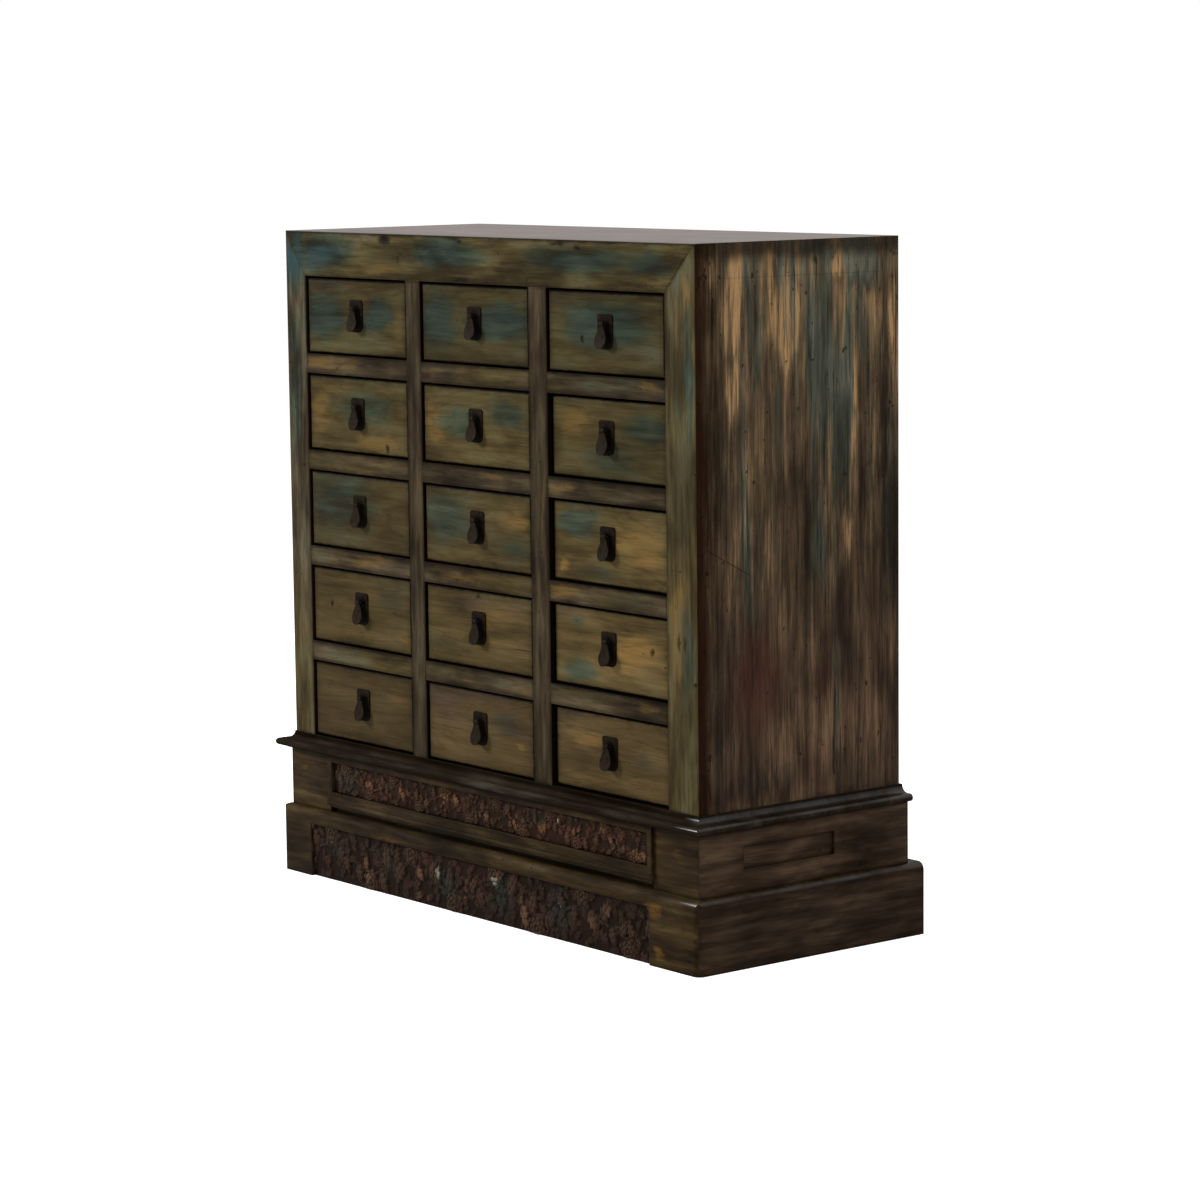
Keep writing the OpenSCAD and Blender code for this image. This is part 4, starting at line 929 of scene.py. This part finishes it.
def carveBlossom(field, middle, radius, petals, rise, turn):
    place, across, up = windowOf(field, middle, radius * 1.1)
    far = np.hypot(across, up)
    angle = np.arctan2(up, across) + turn
    for size, level, shift in ((1.0, 0.72, 0.0), (0.66, 0.92, 0.5)):
        wave = np.abs(np.cos(petals * angle / 2 + shift * math.pi))
        edge = radius * size * (0.78 + 0.22 * wave ** 0.6)
        share = np.clip(far / edge, 0, 1)
        form = rise * level * (0.45 + 0.55 * np.sin(math.pi * share ** 1.6) ** 0.8)
        form *= 0.62 + 0.38 * np.clip(wave * 2.2, 0, 1)
        carve(field, place, form, far - edge)
    boss = radius * 0.24
    carve(field, place, rise * np.sqrt(np.clip(1.05 - (far / boss) ** 2, 0, 1)), far - boss)


def foliage(values, size):
    chance = random.Random(values["seed"])
    step = values["step"]
    shape = (int(round(size[1] / step)) + 1, int(round(size[0] / step)) + 1)
    field = {"height": np.zeros(shape), "step": step}
    bay = size[0] / values["bays"]
    rise, swing = values["rise"], values["swing"]

    def vine(across):
        return size[1] / 2 + swing * math.sin(math.pi * across / bay)

    steps = [x * step for x in range(shape[1])]
    carveStem(field, [(x, vine(x)) for x in steps], values["stemRadius"], rise * 0.5)
    for count in range(values["filling"]):
        base = (chance.uniform(2, size[0] - 2), chance.uniform(3, size[1] - 3))
        near = field["height"][int(base[1] / step), int(base[0] / step)]
        length = chance.uniform(*values["fillLength"]) * (1 if count % 3 else 0.7)
        turn = chance.uniform(-1, 1) * 1.2 + (math.pi if chance.random() < 0.5 else 0)
        if near < rise * 0.3:
            carveLeaf(field, base, turn, length, length * values["leafWidth"],
                      rise * chance.uniform(0.35, 0.62), chance.uniform(-0.5, 0.5), 3)
    for index in range(values["bays"] * 4):
        across = (index + chance.uniform(0.2, 0.8)) * bay / 4
        base = (across, vine(across))
        side = 1 if index % 2 else -1
        turn = side * chance.uniform(0.5, 1.3) + (math.pi if chance.random() < 0.35 else 0)
        length = chance.uniform(*values["leafLength"])
        carveLeaf(field, base, turn, length, length * values["leafWidth"],
                  rise * chance.uniform(0.7, 0.95), chance.uniform(0.15, 0.45) * side, 4)
    for index in range(values["bays"]):
        across = (index + 0.5) * bay + chance.uniform(-3, 3)
        side = 1 if index % 2 else -1
        middle = (across, vine(across) - side * swing * chance.uniform(1.0, 1.35))
        radius = values["blossom"] * chance.uniform(0.86, 1.08)
        for turn in range(5):
            lean = turn * 2 * math.pi / 5 + chance.uniform(-0.3, 0.3)
            base = [middle[0] + radius / 2 * math.cos(lean), middle[1] + radius / 2 * math.sin(lean)]
            carveLeaf(field, base, lean, radius * 0.95, radius * 0.3, rise * 0.72,
                      chance.uniform(-0.3, 0.3), 3)
        petals = chance.randint(*values["petals"])
        carveBlossom(field, middle, radius, petals, rise, chance.uniform(0, 6))
    height = field["height"]
    rough = np.random.default_rng(values["seed"]).normal(0, 1, shape)
    height += toolMarks["ground"] * rough * (height < 0.5) + toolMarks["all"] * rough
    soft = np.pad(height, 1, mode="edge")
    height = 0.4 * height + 0.15 * (soft[:-2, 1:-1] + soft[2:, 1:-1] + soft[1:-1, :-2] + soft[1:-1, 2:])
    corner = values.get("corner", 0)
    up, across = np.mgrid[:shape[0], :shape[1]] * step
    fromSide = corner - np.minimum(across, size[0] - across)
    fromTop = corner - (size[1] - up)
    height[(fromSide > 0) & (fromTop > 0) & (np.hypot(fromSide, fromTop) > corner)] = rise
    height[[0, -1], :] = 0
    height[:, [0, -1]] = 0
    return np.clip(height, 0, rise)


def carvedBoard(values, low, high):
    size = [(high[i] - low[i]) * 1000 for i in (0, 2)]
    height = foliage(values, size) / 1000
    tall, wide = height.shape
    shape = bmesh.new()
    bmesh.ops.create_grid(shape, x_segments=wide - 1, y_segments=tall - 1, size=0.5)
    front = low[1] + values["ground"] / 1000
    for vert in shape.verts:
        across, up = vert.co.x + 0.5, vert.co.y + 0.5
        lift = height[int(round(up * (tall - 1))), int(round(across * (wide - 1)))]
        vert.co = (low[0] + across * (high[0] - low[0]), front - lift, low[2] + up * (high[2] - low[2]))
    for face in shape.faces:
        face.smooth = True
    rim = [edge for edge in shape.edges if edge.is_boundary]
    made = bmesh.ops.extrude_edge_only(shape, edges=rim)["geom"]
    for vert in made:
        if isinstance(vert, bmesh.types.BMVert):
            vert.co.y = high[1]
    rim = [edge for edge in made if isinstance(edge, bmesh.types.BMEdge) and edge.is_boundary]
    bmesh.ops.contextual_create(shape, geom=rim)
    bmesh.ops.recalc_face_normals(shape, faces=shape.faces)
    piece = placedShape(values["name"], shape)
    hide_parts("carved_boards")
    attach(piece, "carcass")
    return piece, front


boardSplit = 0.12  # z between the frieze's board and the apron's
carvedFinish = {"bump": 0.5, "depth": 0.0005, "shine": 0.012}
# the deep and dark grime colours serve as painted shade in the hollows, with patina; the high and pale
# ones as painted highlights on the tops, with wear
carvedColours = {
    "deep": tone(28, 18, 12), "mid": tone(47, 32, 24), "high": tone(64, 47, 36),
    "red": tone(57, 34, 26), "orange": tone(92, 57, 39), "tan": tone(96, 73, 53),
    "pale": tone(134, 126, 112), "grey": tone(37, 38, 33), "grimeAndShade": tone(15, 8, 4),
}

# Rubbed, pale and grey places on the boards, given as the patches of paint are. The pale places are
# worn high spots with painted glints

friezeRubs = [
    (-300, 172, 20, 10, 0.7), (-221, 170, 16, 16, 0.7), (-96, 172, 20, 14, 1.0),
    (-72, 182, 18, 10, 0.8),
    (0, 165, 26, 8, 0.6), (85, 170, 18, 16, 0.8), (164, 164, 20, 12, 0.7), (237, 176, 18, 10, 0.6),
    (328, 164, 24, 12, 0.9), (372, 172, 20, 14, 0.7), (398, 160, 14, 10, 0.8), (300, 186, 16, 8, 0.6),
]
friezePaleWearAndGlints = [
    (-331, 155, 7, 5, 0.9), (-226, 156, 6, 5, 0.8), (192, 186, 9, 6, 1.0), (130, 172, 7, 5, 0.7),
    (314, 158, 7, 5, 0.8), (60, 166, 6, 4, 0.6), (396, 176, 6, 4, 0.7), (-20, 176, 6, 4, 0.6),
]
friezeGrey = [(-370, 172, 40, 30, 0.6), (-250, 178, 16, 16, 0.4), (150, 182, 26, 14, 0.5)]
apronRubs = [
    (-303, 34, 14, 26, 1.0), (-322, 62, 16, 10, 0.7), (-148, 40, 15, 44, 1.0), (-150, 12, 20, 12, 0.9),
    (-36, 40, 14, 44, 0.7), (118, 44, 13, 40, 0.7), (122, 16, 10, 14, 0.8), (60, 78, 26, 7, 0.6),
    (281, 36, 20, 22, 0.5), (395, 40, 16, 22, 0.5), (330, 66, 18, 10, 0.4), (-8, 18, 20, 8, 0.5),
]
apronPaleWearAndGlints = [
    (-283, 60, 9, 12, 0.9), (-106, 60, 10, 12, 0.9), (44, 66, 14, 10, 1.0), (52, 46, 10, 12, 0.6),
    (201, 52, 12, 9, 0.9), (170, 34, 8, 7, 0.6), (-376, 70, 10, 6, 0.5), (330, 58, 8, 6, 0.4),
]
apronGrey = [
    (-240, 46, 26, 36, 0.6), (-90, 48, 26, 36, 0.9), (58, 48, 34, 36, 0.9),
    (205, 44, 40, 34, 0.7), (-400, 60, 40, 30, 0.5),
]


def carvedStain(values, ground, rubs, paleWearAndGlints, greys):
    spot = startMaterial(values["name"] + " stain")
    point, look = spot["point"], carvedColours
    grain = woodFigure(point, 0, values["seed"])
    ragged = wandering(point, (0.02, 0.0, 0.02), (60, 60, 60))
    speck = cloud(point, 260)
    high = calc("SUBTRACT", ground, spot["part"][1])  # 0 on the ground, 1 on the highest forms
    high = calc("DIVIDE", high, values["rise"] / 1000)
    # painted shade with patina: darker on the ground, lighter up the forms
    colour = mixed(ease(high, 0.02, 0.55), look["deep"], look["mid"])
    colour = mixed(ease(grain["soft"], 0.45, 0.65, 0, 0.6), colour, look["red"])
    colour = mixed(softSpots(ragged, greys, 1), colour, look["grey"])
    # painted highlight, with wear, on the highest forms
    top = ease(calc("MULTIPLY_ADD", speck, 0.5, high), 0.62, 1.15, 0, 0.85)
    colour = mixed(top, colour, look["high"])
    rub = calc("MULTIPLY_ADD", speck, 0.6, softSpots(ragged, rubs, 1))
    rub = times(ease(rub, 0.42, 1.0, 0, 0.9), ease(high, 0.25, 0.7))
    colour = mixed(rub, colour, mixed(grain["patch"], look["orange"], look["tan"]))
    # worn high spots with painted glints
    pale = calc("MULTIPLY_ADD", speck, 0.9, softSpots(ragged, paleWearAndGlints, 1))
    pale = times(ease(pale, 0.78, 1.15, 0, 0.8), ease(high, 0.35, 0.8))
    colour = mixed(pale, colour, look["pale"])
    # more painted shade, with patina, on the ground
    colour = mixed(ease(high, 0.3, 0.0, 0, 0.8), colour, look["deep"])
    # dirt and painted shade in the narrow grooves
    colour = mixed(cornerDirtAndShade(0.006, 0.85, samples=8), colour, look["grimeAndShade"])
    height = calc("MULTIPLY_ADD", grain["line"], -0.3, speck)
    return finishMaterial(tinted(colour, values["tint"]),
                          ease(speck, 0.35, 0.65, 0.62, 0.42), height, carvedFinish)


def makeCarving():
    corners = np.array([vert.co for vert in nodes["carved_boards"].data.vertices])
    upper = corners[:, 2] > boardSplit
    places = [(frieze, corners[upper], (friezeRubs, friezePaleWearAndGlints, friezeGrey)),
              (apron, corners[~upper], (apronRubs, apronPaleWearAndGlints, apronGrey))]
    for values, board, patches in places:
        piece, ground = carvedBoard(values, board.min(axis=0), board.max(axis=0))
        piece.data.materials.append(carvedStain(values, ground, *patches))
    print("frieze and apron carved")


makeCarving()
